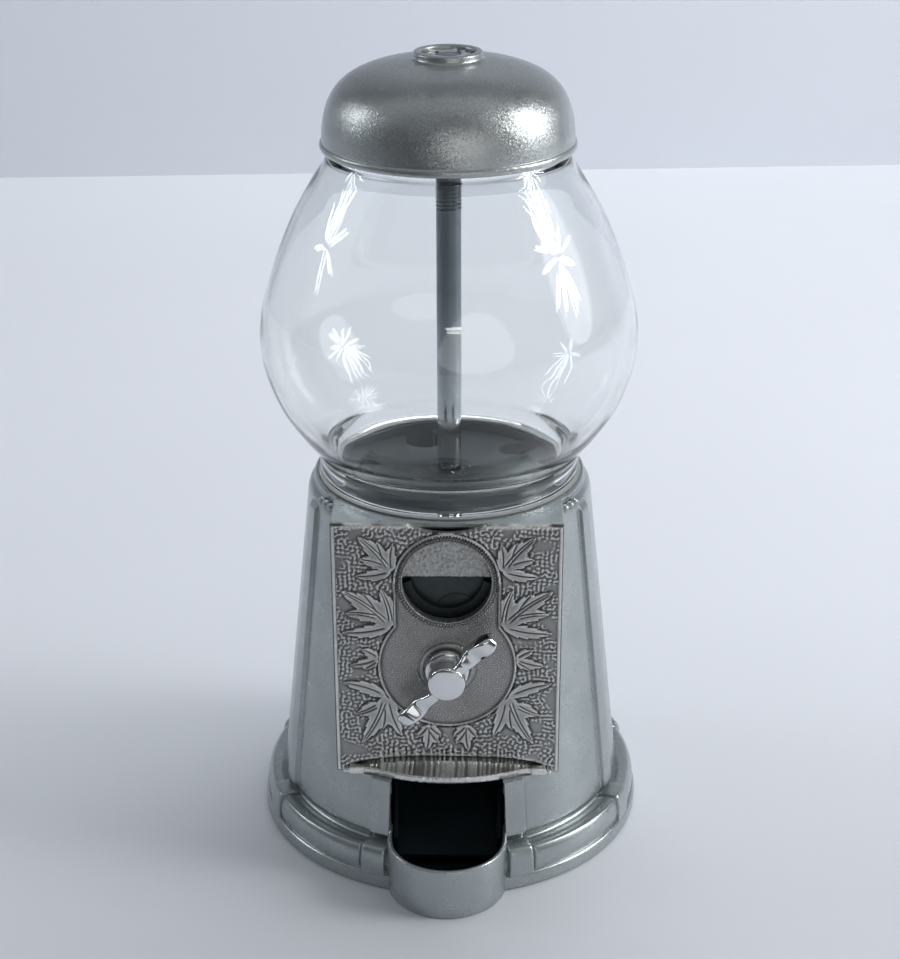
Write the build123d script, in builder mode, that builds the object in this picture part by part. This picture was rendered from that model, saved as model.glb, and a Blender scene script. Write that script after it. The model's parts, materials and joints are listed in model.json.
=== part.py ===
from build123d import *
import math
import os

os.makedirs("parts", exist_ok=True)

# Tabletop gumball machine, 279 mm (11 in) tall. Origin: on the column's axis, on the floor.
# +Z up, -Y is the front with the coin plate, handle and chute.

# ---------- driving dimensions (mm) ----------
total_h = 279.4
rim_r = 69.5            # outer rim of the foot
rim_top = 5.4
mould_top = 14.5
col_r_low, col_z_low = 61.8, 17.5
col_r_high, col_z_high = 50.2, 124.0
wall = 3.0
seat_r, seat_z = 47.55, 133.3
strap_proud = 1.2
strap_arc = 7.5         # degrees
strap_first = 18.6      # degrees from each axis to the strap's inner edge

plate_hw = 38.7         # half width of the front plate
plate_front, plate_back = -50.0, -47.0
plate_z0, plate_z1 = 38.5, 133.3
window_z, window_r = 112.5, 15.0
shaft_z = 80.0
shaft_r = 4.0
run_fit = 0.05

cup_r, cup_cy, cup_h = 20.8, -62.0, 19.3
opening_hw = 19.3

rod_r, thread_r = 4.25, 4.4
rod_z0, rod_z1 = 1.2, 278.2

hop_r_in, hop_r_out = 38.9, 40.2
hop_floor_z0, hop_floor_z1 = 115.5, 117.5
wheel_r = 38.5
wheel_z0, wheel_z1 = 117.8, 129.8
pocket_c, pocket_r, pockets = 31.0, 7.4, 5
drop_az = -35.0         # degrees, direction of the drop hole from the axis
drop_r = 7.7

crown_teeth, pinion_teeth = 40, 8      # ratio 1:5, one pocket per turn of the handle
crown_tip_z, crown_root_z, crown_top_z = 83.2, 85.2, 87.6
tooth_w = 0.72

carrier_r = 33.0
carrier_y0, carrier_y1 = -45.0, -42.6
ratchet_r, ratchet_teeth = 16.0, 12

lid_r, lid_z = 42.5, 248.0

drop_x = pocket_c * math.cos(math.radians(drop_az))
drop_y = pocket_c * math.sin(math.radians(drop_az))


def rot_xz(deg):
    """Half plane through the Z axis, turned by deg; local x is radial, local y is +Z."""
    a = math.radians(deg)
    return Plane(origin=(0, 0, 0), x_dir=(math.cos(a), math.sin(a), 0), z_dir=(math.sin(a), -math.cos(a), 0))


def yplane(y):
    """Plane facing the front at this y; local x is +X, local y is +Z, extrude(+) goes toward -Y."""
    return Plane(origin=(0, y, 0), x_dir=(1, 0, 0), z_dir=(0, -1, 0))


strap_starts = []
for q in (0, 90, 180, 270):
    strap_starts += [q + strap_first, q - strap_first - strap_arc]

# ---------- body casting: foot, column, straps, mechanism block, seat ring, chute cup ----------
with BuildPart() as base_body:
    with BuildSketch(Plane.XZ):
        with BuildLine():
            Polyline((0, 0), (rim_r - 0.6, 0), (rim_r, 0.6), (rim_r, rim_top - 0.7), (rim_r - 0.7, rim_top),
                     (68.3, rim_top), (68.3, 6.0), (68.7, 8.4), (68.6, 10.6), (68.0, 12.8), (67.2, 14.1), (66.4, mould_top),
                     (64.2, mould_top), (61.2, 13.6), (60.4, 14.4), (60.4, 16.6), (col_r_low, col_z_low),
                     (61.4, 21.5), (col_r_high, col_z_high), (49.9, 127.3), (49.2, 129.3), (48.0, 130.2), (seat_r, 130.6),
                     (seat_r, seat_z - 0.5), (seat_r - 0.5, seat_z), (0, seat_z), (0, 0))
        make_face()
    revolve(axis=Axis.Z)
    # straps up the column and their blocks across the foot moulding
    for s in strap_starts:
        with BuildSketch(rot_xz(s)):
            with BuildLine():
                Polyline((55, 17.7), (col_r_low + strap_proud, 17.7), (61.4 + strap_proud, 21.5),
                         (col_r_high + strap_proud, col_z_high), (50.5, 127.2), (48.5, 129.0), (40, 129.0), (55, 17.7))
            make_face()
        revolve(axis=Axis.Z, revolution_arc=strap_arc)
        with BuildSketch(rot_xz(s)):
            with BuildLine():
                Polyline((60, 5.0), (69.3, 5.0), (69.4, 8.6), (69.3, 12.0), (68.6, 14.6), (67.6, 15.6), (62, 15.6), (60, 5.0))
            make_face()
        revolve(axis=Axis.Z, revolution_arc=strap_arc)
    # block that carries the plate and the mechanism
    with BuildSketch(Plane.XY.offset(plate_z0)):
        with Locations((0, (-20 + plate_back) / 2)):
            Rectangle(2 * plate_hw + 0.1, abs(plate_back) - 20)
    extrude(amount=seat_z - plate_z0)
    # the round column is cut flat where the plate lies
    with BuildSketch(Plane.XY.offset(plate_z0)):
        with Locations((0, plate_back - 15)):
            Rectangle(2 * plate_hw + 0.1, 30)
    extrude(amount=seat_z - plate_z0 + 2, mode=Mode.SUBTRACT)
    # chute cup, round in front
    with BuildSketch(Plane.XY):
        with Locations((0, cup_cy)):
            Circle(cup_r)
        with Locations((0, (cup_cy - 45.6) / 2)):
            Rectangle(2 * cup_r, -45.6 - cup_cy)
    extrude(amount=cup_h)
    # inside of the column, the block and the foot
    with BuildSketch(Plane.XZ):
        with BuildLine():
            Polyline((0, -1), (63.0, -1), (63.0, 8.0), (57.6, 8.0), (57.6, 18.0), (col_r_high - wall, col_z_high), (46.4, 128.6), (45.4, 129.4), (0, 129.4), (0, -1))
        make_face()
    revolve(axis=Axis.Z, mode=Mode.SUBTRACT)
    with BuildSketch(Plane.XY.offset(41.0)):
        with Locations((0, (-15 + plate_back - 1) / 2)):
            Rectangle(72.6, abs(plate_back - 1) - 15)
    extrude(amount=129.4 - 41.0, mode=Mode.SUBTRACT)
    # way in for the coin, above the mechanism
    with BuildSketch(Plane.XY.offset(128.0)):
        with Locations((0, -45.4)):
            Rectangle(27.4, 3.4)
    extrude(amount=4.0, mode=Mode.SUBTRACT)
    # opening in the column above the cup
    with BuildSketch(Plane.XY.offset(4.0)):
        with Locations((0, cup_cy)):
            Circle(cup_r - 1.6)
        with Locations((0, (cup_cy - 47.4) / 2)):
            Rectangle(2 * (cup_r - 1.6), -47.4 - cup_cy)
    extrude(amount=30, mode=Mode.SUBTRACT)
    with BuildSketch(Plane.XY.offset(14.0)):
        with Locations((0, (cup_cy - 40) / 2)):
            Rectangle(2 * opening_hw, -40 - cup_cy)
    extrude(amount=plate_z0 - 14.0 + 0.1, mode=Mode.SUBTRACT)
    # the floor and the back wall of the cup
    with BuildSketch(Plane.XY.offset(2.2)):
        with Locations((0, cup_cy)):
            Circle(cup_r - 0.8)
        with Locations((0, (cup_cy - 46.0) / 2)):
            Rectangle(2 * (cup_r - 0.8), -46.0 - cup_cy)
    extrude(amount=1.8)
    with BuildSketch(Plane.XY.offset(2.2)):
        with Locations((0, -46.7)):
            Rectangle(2 * cup_r, 1.4)
        with Locations((cup_r - 0.8, -53.5), (0.8 - cup_r, -53.5)):
            Rectangle(1.6, 15.0)
    extrude(amount=11.0)
    with BuildSketch(Plane.XY.offset(1.0)):
        with Locations((0, -41.0)):
            Rectangle(2 * cup_r + 2, 10.0)
    extrude(amount=5.0, mode=Mode.SUBTRACT)
    with BuildSketch(Plane.XY.offset(-1)):
        with Locations((0, cup_cy)):
            Circle(cup_r - 1.6)
        with Locations((0, (cup_cy - 47.4) / 2)):
            Rectangle(2 * (cup_r - 1.6), -47.4 - cup_cy)
    extrude(amount=3.2, mode=Mode.SUBTRACT)
    # well for the hopper
    with BuildSketch(Plane.XY.offset(126)):
        Circle(hop_r_out + 0.1)
    extrude(amount=10, mode=Mode.SUBTRACT)
    with BuildSketch(Plane.XY.offset(seat_z - 1.5)):
        Circle(43.2)
    extrude(amount=3, mode=Mode.SUBTRACT)
base_body.part.label = "base_body"
export_step(base_body.part, "parts/base_body.step")

# ---------- bottom cover, washer, nut ----------
with BuildPart() as bottom_cover:
    with BuildSketch(Plane.XY.offset(6.4)):
        Circle(62.6)
        Circle(rod_r + 0.1, mode=Mode.SUBTRACT)
        with Locations((0, -45.6 - 15)):
            Rectangle(2 * cup_r + 0.8, 30, mode=Mode.SUBTRACT)
    extrude(amount=1.6)
bottom_cover.part.label = "bottom_cover"
export_step(bottom_cover.part, "parts/bottom_cover.step")

with BuildPart() as foot_washer:
    with BuildSketch(Plane.XY.offset(5.4)):
        Circle(9.0)
        Circle(rod_r + 0.1, mode=Mode.SUBTRACT)
    extrude(amount=1.0)
foot_washer.part.label = "foot_washer"
export_step(foot_washer.part, "parts/foot_washer.step")

with BuildPart() as foot_nut:
    with BuildSketch(Plane.XY.offset(1.6)):
        RegularPolygon(6.6, 6)
        Circle(rod_r, mode=Mode.SUBTRACT)
    extrude(amount=3.8)
foot_nut.part.label = "foot_nut"
export_step(foot_nut.part, "parts/foot_nut.step")

# ---------- centre rod ----------
with BuildPart() as rod:
    with BuildSketch(Plane.XZ):
        with BuildLine():
            Polyline((0, rod_z0), (rod_r - 0.6, rod_z0), (rod_r, rod_z0 + 0.6), (rod_r, 231.5), (thread_r, 232.0),
                     (thread_r, rod_z1 - 0.6), (thread_r - 0.6, rod_z1), (0, rod_z1), (0, rod_z0))
        make_face()
    revolve(axis=Axis.Z)
rod.part.label = "rod"
export_step(rod.part, "parts/rod.step")

# ---------- hopper cup ----------
with BuildPart() as hopper_cup:
    with BuildSketch(Plane.XZ):
        with BuildLine():
            Polyline((8.4, hop_floor_z0), (hop_r_out, hop_floor_z0), (hop_r_out, seat_z - 1.5), (43.0, seat_z - 1.5), (43.0, seat_z),
                     (39.3, seat_z), (hop_r_in, seat_z - 0.6), (hop_r_in, hop_floor_z1), (8.4, hop_floor_z1), (8.4, hop_floor_z0))
        make_face()
    revolve(axis=Axis.Z)
    with BuildSketch(Plane.XY.offset(hop_floor_z0 - 1)):
        with Locations((drop_x, drop_y)):
            Circle(drop_r)
    extrude(amount=4, mode=Mode.SUBTRACT)
hopper_cup.part.label = "hopper_cup"
export_step(hopper_cup.part, "parts/hopper_cup.step")

# half shield over the drop hole
with BuildPart() as wheel_cover:
    with BuildSketch(Plane.XY.offset(130.5)):
        Circle(hop_r_in)
        Circle(6.1, mode=Mode.SUBTRACT)
        with Locations((0, 25)):
            Rectangle(90, 50, mode=Mode.SUBTRACT)
    extrude(amount=1.1)
wheel_cover.part.label = "wheel_cover"
export_step(wheel_cover.part, "parts/wheel_cover.step")

# ---------- dispensing wheel, hub sleeve, crown gear ----------
with BuildPart() as dispensing_wheel:
    with BuildSketch(Plane.XY.offset(wheel_z0)):
        Circle(wheel_r)
        Circle(rod_r + run_fit, mode=Mode.SUBTRACT)
        with PolarLocations(pocket_c, pockets, start_angle=drop_az):
            Circle(pocket_r, mode=Mode.SUBTRACT)
        with PolarLocations(pocket_c + 4.4, pockets, start_angle=drop_az):
            Rectangle(8.8, 11.4, mode=Mode.SUBTRACT)
    extrude(amount=wheel_z1 - wheel_z0)
dispensing_wheel.part.label = "dispensing_wheel"
export_step(dispensing_wheel.part, "parts/dispensing_wheel.step")

with BuildPart() as hub_sleeve:
    with BuildSketch(Plane.XY.offset(crown_top_z)):
        Circle(8.0)
        Circle(rod_r + run_fit, mode=Mode.SUBTRACT)
    extrude(amount=wheel_z0 - crown_top_z)
hub_sleeve.part.label = "hub_sleeve"
export_step(hub_sleeve.part, "parts/hub_sleeve.step")

with BuildPart() as crown_gear:
    with BuildSketch(Plane.XY.offset(crown_root_z)):
        Circle(21.3)
        Circle(rod_r + run_fit, mode=Mode.SUBTRACT)
    extrude(amount=crown_top_z - crown_root_z)
    with BuildSketch(Plane.XY.offset(crown_tip_z)):
        with PolarLocations(17.75, crown_teeth, start_angle=-90 + 180 / crown_teeth):
            Rectangle(6.5, tooth_w)
    extrude(amount=crown_root_z - crown_tip_z)
crown_gear.part.label = "crown_gear"
export_step(crown_gear.part, "parts/crown_gear.step")

# ---------- sloping tray of the chute ----------
slope = 35.5 / 50.0


def tray_z(y):
    return 8.5 + (y + 57.0) * slope


with BuildPart() as tray_space:
    with BuildSketch(Plane.YZ.offset(-22)):
        with BuildLine():
            Polyline((-60, tray_z(-60)), (0, tray_z(0)), (0, 90), (-60, 90), (-60, tray_z(-60)))
        make_face()
    extrude(amount=60)
    with BuildSketch(Plane.XY.offset(-5)):
        with BuildLine():
            Polyline((-17.4, -61), (-17.4, -40.5), (15.2, -8.2), (34.3, -8.2), (34.3, -22.4), (17.4, -45.5), (17.4, -61), (-17.4, -61))
        make_face()
    extrude(amount=110, mode=Mode.INTERSECT)

with BuildPart() as chute_tray:
    with BuildSketch(Plane.YZ.offset(-22)):
        with BuildLine():
            Polyline((-57, tray_z(-57) - 1.5), (-6.6, tray_z(-6.6) - 1.5), (-6.6, tray_z(-6.6) + 15), (-30, tray_z(-30) + 15), (-57, tray_z(-57) + 7), (-57, tray_z(-57) - 1.5))
        make_face()
    extrude(amount=60)
    with BuildSketch(Plane.XY.offset(-5)):
        with BuildLine():
            Polyline((-18.8, -58), (-18.8, -39.9), (14.6, -6.6), (35.8, -6.6), (35.8, -22.9), (18.8, -46.0), (18.8, -58), (-18.8, -58))
        make_face()
    extrude(amount=110, mode=Mode.INTERSECT)
    add(tray_space.part, mode=Mode.SUBTRACT)
chute_tray.part.label = "chute_tray"
export_step(chute_tray.part, "parts/chute_tray.step")

# ---------- drop tube from the hopper to the tray, held on the tray's wall by a web ----------
with BuildPart() as drop_tube:
    with BuildSketch(Plane.XY.offset(48.0)):
        with Locations((drop_x, drop_y)):
            Circle(drop_r + 1.2)
            Circle(drop_r, mode=Mode.SUBTRACT)
    extrude(amount=hop_floor_z0 - 48.0)
    with BuildSketch(Plane.XY.offset(48.0)):
        with Locations((drop_x, -8.9)):
            Rectangle(8.0, 1.4)
    extrude(amount=9.0)
drop_tube.part.label = "drop_tube"
export_step(drop_tube.part, "parts/drop_tube.step")

# ---------- front plate ----------
post_xz = [(-33, 45.5), (33, 45.5), (-33, 126), (33, 126)]
notch_R = (13.5 ** 2 + 3.2 ** 2) / (2 * 3.2)
with BuildPart() as front_plate:
    with BuildSketch(yplane(plate_back)):
        with Locations((0, (plate_z0 + plate_z1) / 2)):
            Rectangle(2 * plate_hw, plate_z1 - plate_z0)
        with Locations((0, window_z)):
            Circle(window_r, mode=Mode.SUBTRACT)
        with Locations((0, shaft_z)):
            Circle(shaft_r + run_fit, mode=Mode.SUBTRACT)
        # coin slot: a shallow round dip in the top edge
        with Locations((0, plate_z1 - 3.2 + notch_R)):
            Circle(notch_R, mode=Mode.SUBTRACT)
    extrude(amount=plate_back - plate_front)
    # raised ring round the handle, rim of the window
    with BuildSketch(yplane(plate_front)):
        with Locations((0, shaft_z)):
            Circle(9.4)
            Circle(8.0, mode=Mode.SUBTRACT)
        with Locations((0, window_z)):
            Circle(window_r + 1.6)
            Circle(window_r, mode=Mode.SUBTRACT)
    extrude(amount=0.8)
    # lip at the foot of the plate, following the round of the column
    with BuildSketch(Plane.XY.offset(plate_z0)):
        Circle(58.3)
        with Locations((0, 30.2)):
            Rectangle(160, 160, mode=Mode.SUBTRACT)
    extrude(amount=2.4)
    # four posts at the back
    with BuildSketch(yplane(plate_back)):
        with Locations(*post_xz):
            Circle(2.6)
    extrude(amount=-4.8)
    with BuildSketch(yplane(-42.2)):
        with Locations(*post_xz):
            Circle(1.35)
    extrude(amount=5.6, mode=Mode.SUBTRACT)
front_plate.part.label = "front_plate"
export_step(front_plate.part, "parts/front_plate.step")

# ---------- coin guard behind the upper half of the window ----------
with BuildPart() as coin_guard:
    with BuildSketch(yplane(-45.7)):
        with Locations((0, window_z)):
            Circle(16.4)
        with Locations((0, window_z - 20 + 0.4)):
            Rectangle(40, 40, mode=Mode.SUBTRACT)
    extrude(amount=1.3)
coin_guard.part.label = "coin_guard"
export_step(coin_guard.part, "parts/coin_guard.step")

# ---------- mechanism frame, coin guides, rear bracket ----------
with BuildPart() as frame_plate:
    with BuildSketch(yplane(-40.6)):
        with Locations((0, (42 + 129) / 2)):
            Rectangle(71.4, 87)
        with Locations((0, shaft_z)):
            Circle(shaft_r + run_fit, mode=Mode.SUBTRACT)
        with Locations(*post_xz):
            Circle(1.35, mode=Mode.SUBTRACT)
    extrude(amount=1.6)
frame_plate.part.label = "frame_plate"
export_step(frame_plate.part, "parts/frame_plate.step")

with BuildPart() as coin_guides:
    with BuildSketch(yplane(-42.2)):
        with Locations((13.6, 120.4), (-13.6, 120.4)):
            Rectangle(1.8, 14.0)
    extrude(amount=3.0)
coin_guides.part.label = "coin_guides"
export_step(coin_guides.part, "parts/coin_guides.step")

with BuildPart() as frame_screws:
    with BuildSketch(yplane(-40.6)):
        with Locations(*post_xz):
            Circle(1.3)
    extrude(amount=5.6)
    with BuildSketch(yplane(-38.9)):
        with Locations(*post_xz):
            Circle(2.7)
    extrude(amount=1.7)
    with BuildSketch(yplane(-38.9)):
        with Locations(*post_xz):
            Rectangle(0.8, 4.0)
    extrude(amount=0.8, mode=Mode.SUBTRACT)
frame_screws.part.label = "frame_screws"
export_step(frame_screws.part, "parts/frame_screws.step")

with BuildPart() as rear_bracket:
    with BuildSketch(yplane(-27.6)):
        with Locations((0, 75)):
            Rectangle(44, 24)
        with Locations((0, shaft_z)):
            Circle(shaft_r + run_fit, mode=Mode.SUBTRACT)
    extrude(amount=2.0)
    with BuildSketch(yplane(-29.6)):
        with Locations((-21, 71), (21, 71)):
            Rectangle(2.0, 16)
    extrude(amount=11.0)
rear_bracket.part.label = "rear_bracket"
export_step(rear_bracket.part, "parts/rear_bracket.step")

# ---------- turning parts on the handle shaft ----------
with BuildPart() as shaft:
    with BuildSketch(yplane(-27.0)):
        with Locations((0, shaft_z)):
            Circle(shaft_r)
    extrude(amount=31.0)
    with BuildSketch(yplane(-15.0)):
        with Locations((0, shaft_z)):
            Circle(2.0)
    extrude(amount=12.0)
shaft.part.label = "shaft"
export_step(shaft.part, "parts/shaft.step")

with BuildPart() as handle_collar:
    with BuildSketch(yplane(-50.3)):
        with Locations((0, shaft_z)):
            Circle(7.5)
            Circle(shaft_r, mode=Mode.SUBTRACT)
    extrude(amount=3.2)
    with BuildSketch(yplane(-53.5)):
        with Locations((0, shaft_z)):
            Circle(6.4)
            Circle(shaft_r, mode=Mode.SUBTRACT)
    extrude(amount=1.3)
handle_collar.part.label = "handle_collar"
export_step(handle_collar.part, "parts/handle_collar.step")

wing_dir = math.radians(47)
wing_pts = [(0, -3.6), (6, -3.4), (12, -2.3), (18, -2.5), (21.6, -2.7), (22.6, -1.4), (22.6, 1.6), (21.6, 2.8), (17, 2.9), (11, 2.7), (5, 3.6), (0, 3.6)]
wing_pts = wing_pts + [(-x, -y) for x, y in wing_pts[1:-1]]
wing_xz = [(x * math.cos(wing_dir) - y * math.sin(wing_dir), shaft_z + x * math.sin(wing_dir) + y * math.cos(wing_dir)) for x, y in wing_pts]
with BuildPart() as handle:
    with BuildSketch(yplane(-56.2)):
        with BuildLine():
            Polyline(*wing_xz, wing_xz[0])
        make_face()
    extrude(amount=4.6)
    with BuildSketch(yplane(-54.8)):
        with Locations((0, shaft_z)):
            Circle(6.3)
    extrude(amount=7.6)
    with BuildSketch(yplane(-54.8)):
        with Locations((0, shaft_z)):
            Circle(shaft_r)
    extrude(amount=3.2, mode=Mode.SUBTRACT)
handle.part.label = "handle"
export_step(handle.part, "parts/handle.step")

with BuildPart() as coin_carrier:
    with BuildSketch(yplane(carrier_y1)):
        with Locations((0, shaft_z)):
            Circle(carrier_r)
            Circle(shaft_r, mode=Mode.SUBTRACT)
        with Locations((0, window_z)):
            Circle(12.4, mode=Mode.SUBTRACT)
    extrude(amount=carrier_y1 - carrier_y0)
coin_carrier.part.label = "coin_carrier"
export_step(coin_carrier.part, "parts/coin_carrier.step")

tooth_pts = []
for i in range(ratchet_teeth):
    a0 = 2 * math.pi * i / ratchet_teeth
    a1 = a0 + 2 * math.pi / ratchet_teeth
    tooth_pts.append((ratchet_r * math.sin(a0), shaft_z + ratchet_r * math.cos(a0)))
    tooth_pts.append(((ratchet_r - 2.6) * math.sin(a0 + 0.03), shaft_z + (ratchet_r - 2.6) * math.cos(a0 + 0.03)))
with BuildPart() as ratchet_wheel:
    with BuildSketch(yplane(-38.0)):
        with BuildLine():
            Polyline(*tooth_pts, tooth_pts[0])
        make_face()
        with Locations((0, shaft_z)):
            Circle(shaft_r, mode=Mode.SUBTRACT)
    extrude(amount=2.3)
ratchet_wheel.part.label = "ratchet_wheel"
export_step(ratchet_wheel.part, "parts/ratchet_wheel.step")

with BuildPart() as drive_pinion:
    with BuildSketch(yplane(-15.8)):
        with Locations((0, shaft_z)):
            Circle(2.7)
            with PolarLocations(3.3, pinion_teeth, start_angle=90):
                Rectangle(2.2, tooth_w)
            Circle(2.0, mode=Mode.SUBTRACT)
    extrude(amount=4.4)
drive_pinion.part.label = "drive_pinion"
export_step(drive_pinion.part, "parts/drive_pinion.step")

with BuildPart() as shaft_clip:
    with BuildSketch(yplane(-25.8)):
        with Locations((0, shaft_z)):
            Circle(4.6)
            Circle(2.0, mode=Mode.SUBTRACT)
    extrude(amount=1.2)
shaft_clip.part.label = "shaft_clip"
export_step(shaft_clip.part, "parts/shaft_clip.step")

# ---------- ratchet pawl, its post and spring ----------
pawl_x, pawl_z = -24.0, shaft_z + 8.0
with BuildPart() as pawl_post:
    with BuildSketch(yplane(-36.9)):
        with Locations((pawl_x, pawl_z)):
            Circle(1.5)
    extrude(amount=3.7)
pawl_post.part.label = "pawl_post"
export_step(pawl_post.part, "parts/pawl_post.step")

with BuildPart() as pawl:
    with BuildSketch(yplane(-38.2)):
        with Locations((pawl_x, pawl_z)):
            Circle(2.9)
        with BuildLine():
            Polyline((pawl_x, pawl_z + 2.2), (-14.9, shaft_z + 9.0), (-14.6, shaft_z + 7.3), (pawl_x, pawl_z - 2.2), (pawl_x, pawl_z + 2.2))
        make_face()
        with Locations((pawl_x, pawl_z)):
            Circle(1.5 + run_fit, mode=Mode.SUBTRACT)
    extrude(amount=2.0)
pawl.part.label = "pawl"
export_step(pawl.part, "parts/pawl.step")

with BuildPart() as pawl_spring:
    for k in range(2):
        with BuildSketch(Plane(origin=(pawl_x, -37.6 + 0.6 * k, pawl_z), x_dir=(1, 0, 0), z_dir=(0, 0, 1))):
            with Locations((1.86, 0)):
                Circle(0.28)
        revolve(axis=Axis((pawl_x, 0, pawl_z), (0, 1, 0)))
pawl_spring.part.label = "pawl_spring"
export_step(pawl_spring.part, "parts/pawl_spring.step")

# ---------- globe ----------
with BuildPart() as globe_gasket:
    with BuildSketch(Plane.XY.offset(seat_z + 0.02)):
        Circle(46.2)
        Circle(39.8, mode=Mode.SUBTRACT)
    extrude(amount=0.75)
globe_gasket.part.label = "globe_gasket"
export_step(globe_gasket.part, "parts/globe_gasket.step")

globe_foot = seat_z + 0.8
with BuildPart() as glass_globe:
    with BuildSketch(Plane.XZ):
        with BuildLine():
            Polyline((40.4, globe_foot + 0.6), (41.0, globe_foot), (44.6, globe_foot), (45.3, globe_foot + 0.7), (45.5, 137.6), (45.2, 141.0))
            Spline((45.2, 141.0), (48.2, 145.6), (53.2, 152.0), (59.2, 161.6), (63.3, 173.0), (64.5, 183.0), (63.4, 194.0), (59.3, 208.0), (53.2, 223.0), (47.0, 234.5), (41.6, 243.0))
            Polyline((41.6, 243.0), (40.0, 246.2), (39.4, 247.6), (39.4, 251.4), (38.9, 252.0), (36.9, 252.0), (36.4, 251.4), (36.4, 246.6))
            Spline((36.4, 246.6), (38.6, 243.0), (44.2, 234.2), (50.3, 222.4), (56.3, 207.4), (60.4, 193.4), (61.5, 183.0), (60.4, 173.6), (56.6, 163.2), (50.8, 154.0), (44.9, 147.4), (40.4, 143.2))
            Line((40.4, 143.2), (40.4, globe_foot + 0.6))
        make_face()
    revolve(axis=Axis.Z)
glass_globe.part.label = "glass_globe"
export_step(glass_globe.part, "parts/glass_globe.step")

# ---------- lid and its nut ----------
with BuildPart() as lid:
    with BuildSketch(Plane.XZ):
        with BuildLine():
            Polyline((40.2, lid_z + 0.2), (41.6, lid_z), (42.2, lid_z + 0.4), (lid_r, lid_z + 1.2), (42.4, lid_z + 2.2), (41.9, lid_z + 3.0), (41.8, lid_z + 3.6))
            Spline((41.8, lid_z + 3.6), (41.4, 255.5), (40.6, 259.8), (39.2, 264.0), (36.6, 268.2), (32.0, 271.9), (25.4, 274.6), (18.0, 276.1), (11.4, 276.7))
            Polyline((11.4, 276.7), (11.3, 278.9), (10.9, total_h), (9.3, total_h), (8.9, 278.9), (8.9, 274.6), (thread_r + 0.15, 274.6), (thread_r + 0.15, 272.6), (16.0, 272.6))
            Spline((16.0, 272.6), (24.8, 272.0), (31.0, 269.7), (35.0, 266.4), (37.3, 262.4), (38.2, 258.0), (38.4, 255.4))
            Polyline((38.4, 255.4), (37.6, 254.2), (36.6, 252.2), (39.9, 252.2), (40.2, 251.6), (40.2, lid_z + 0.2))
        make_face()
    revolve(axis=Axis.Z)
lid.part.label = "lid"
export_step(lid.part, "parts/lid.step")

with BuildPart() as lid_nut:
    with BuildSketch(Plane.XY.offset(274.75)):
        Circle(6.6)
        with PolarLocations(6.6, 8):
            Circle(1.5)
        Circle(thread_r + run_fit, mode=Mode.SUBTRACT)
    extrude(amount=3.7)
lid_nut.part.label = "lid_nut"
export_step(lid_nut.part, "parts/lid_nut.step")
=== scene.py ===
import json
import math

import bmesh
import bpy
import numpy as np
from mathutils import Matrix, Vector

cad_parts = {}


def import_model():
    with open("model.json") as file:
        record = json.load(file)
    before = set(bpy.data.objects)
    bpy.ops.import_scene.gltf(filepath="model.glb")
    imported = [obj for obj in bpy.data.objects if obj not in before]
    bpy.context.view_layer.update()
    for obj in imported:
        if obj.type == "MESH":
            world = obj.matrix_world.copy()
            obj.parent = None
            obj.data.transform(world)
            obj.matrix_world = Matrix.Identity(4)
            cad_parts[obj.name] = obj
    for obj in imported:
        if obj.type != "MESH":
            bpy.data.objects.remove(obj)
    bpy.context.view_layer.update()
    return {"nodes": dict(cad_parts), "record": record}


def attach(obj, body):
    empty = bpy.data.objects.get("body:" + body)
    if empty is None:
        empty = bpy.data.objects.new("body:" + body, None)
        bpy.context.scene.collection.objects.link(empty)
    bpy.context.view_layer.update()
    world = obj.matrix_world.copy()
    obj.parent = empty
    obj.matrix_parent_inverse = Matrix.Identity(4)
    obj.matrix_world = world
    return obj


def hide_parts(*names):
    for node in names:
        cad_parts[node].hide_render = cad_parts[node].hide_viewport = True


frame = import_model()

MM = 0.001
TAU = 2 * math.pi
scene = bpy.context.scene


# ------------------------------------------------------------------ mesh helpers (millimetres in, metres out)
def quads(nu, nv, wu=False, wv=False, off=0):
    u = np.arange(nu if wu else nu - 1)
    v = np.arange(nv if wv else nv - 1)
    U, W = np.meshgrid(u, v, indexing="ij")
    U2, W2 = (U + 1) % nu, (W + 1) % nv
    return (np.stack([U * nv + W, U2 * nv + W, U2 * nv + W2, U * nv + W2], -1).reshape(-1, 4) + off).tolist()


def finish_mesh(o, angle=32):
    me = o.data
    bm = bmesh.new()
    bm.from_mesh(me)
    bmesh.ops.recalc_face_normals(bm, faces=bm.faces)
    bm.to_mesh(me)
    bm.free()
    me.polygons.foreach_set("use_smooth", np.ones(len(me.polygons), bool))
    me.set_sharp_from_angle(angle=math.radians(angle))
    me.update()
    return o


def obj(name, V, F, angle=32, fix=True):
    me = bpy.data.meshes.new(name)
    me.from_pydata((np.asarray(V, float) * MM).tolist(), [], F)
    me.update()
    o = bpy.data.objects.new(name, me)
    scene.collection.objects.link(o)
    return finish_mesh(o, angle) if fix else o


def fillet(P, r, k=4, closed=False):
    """Rounds the corners of a polyline; r is one radius or one per point."""
    P = [np.array(p, float) for p in P]
    n, out = len(P), []
    for i in range(n):
        ri = r if np.isscalar(r) else r[i]
        if (not closed and i in (0, n - 1)) or ri <= 0:
            out.append(P[i])
            continue
        a, b, c = P[i - 1], P[i], P[(i + 1) % n]
        u, v = a - b, c - b
        lu, lv = np.linalg.norm(u), np.linalg.norm(v)
        if lu < 1e-9 or lv < 1e-9:
            continue
        u, v = u / lu, v / lv
        if float(u @ v) < -0.9995:
            out.append(b)
            continue
        d = min(ri, 0.46 * lu, 0.46 * lv)
        p0, p1 = b + u * d, b + v * d
        for t in np.linspace(0, 1, k + 1):
            out.append((1 - t) ** 2 * p0 + 2 * t * (1 - t) * b + t * t * p1)
    return out


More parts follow.
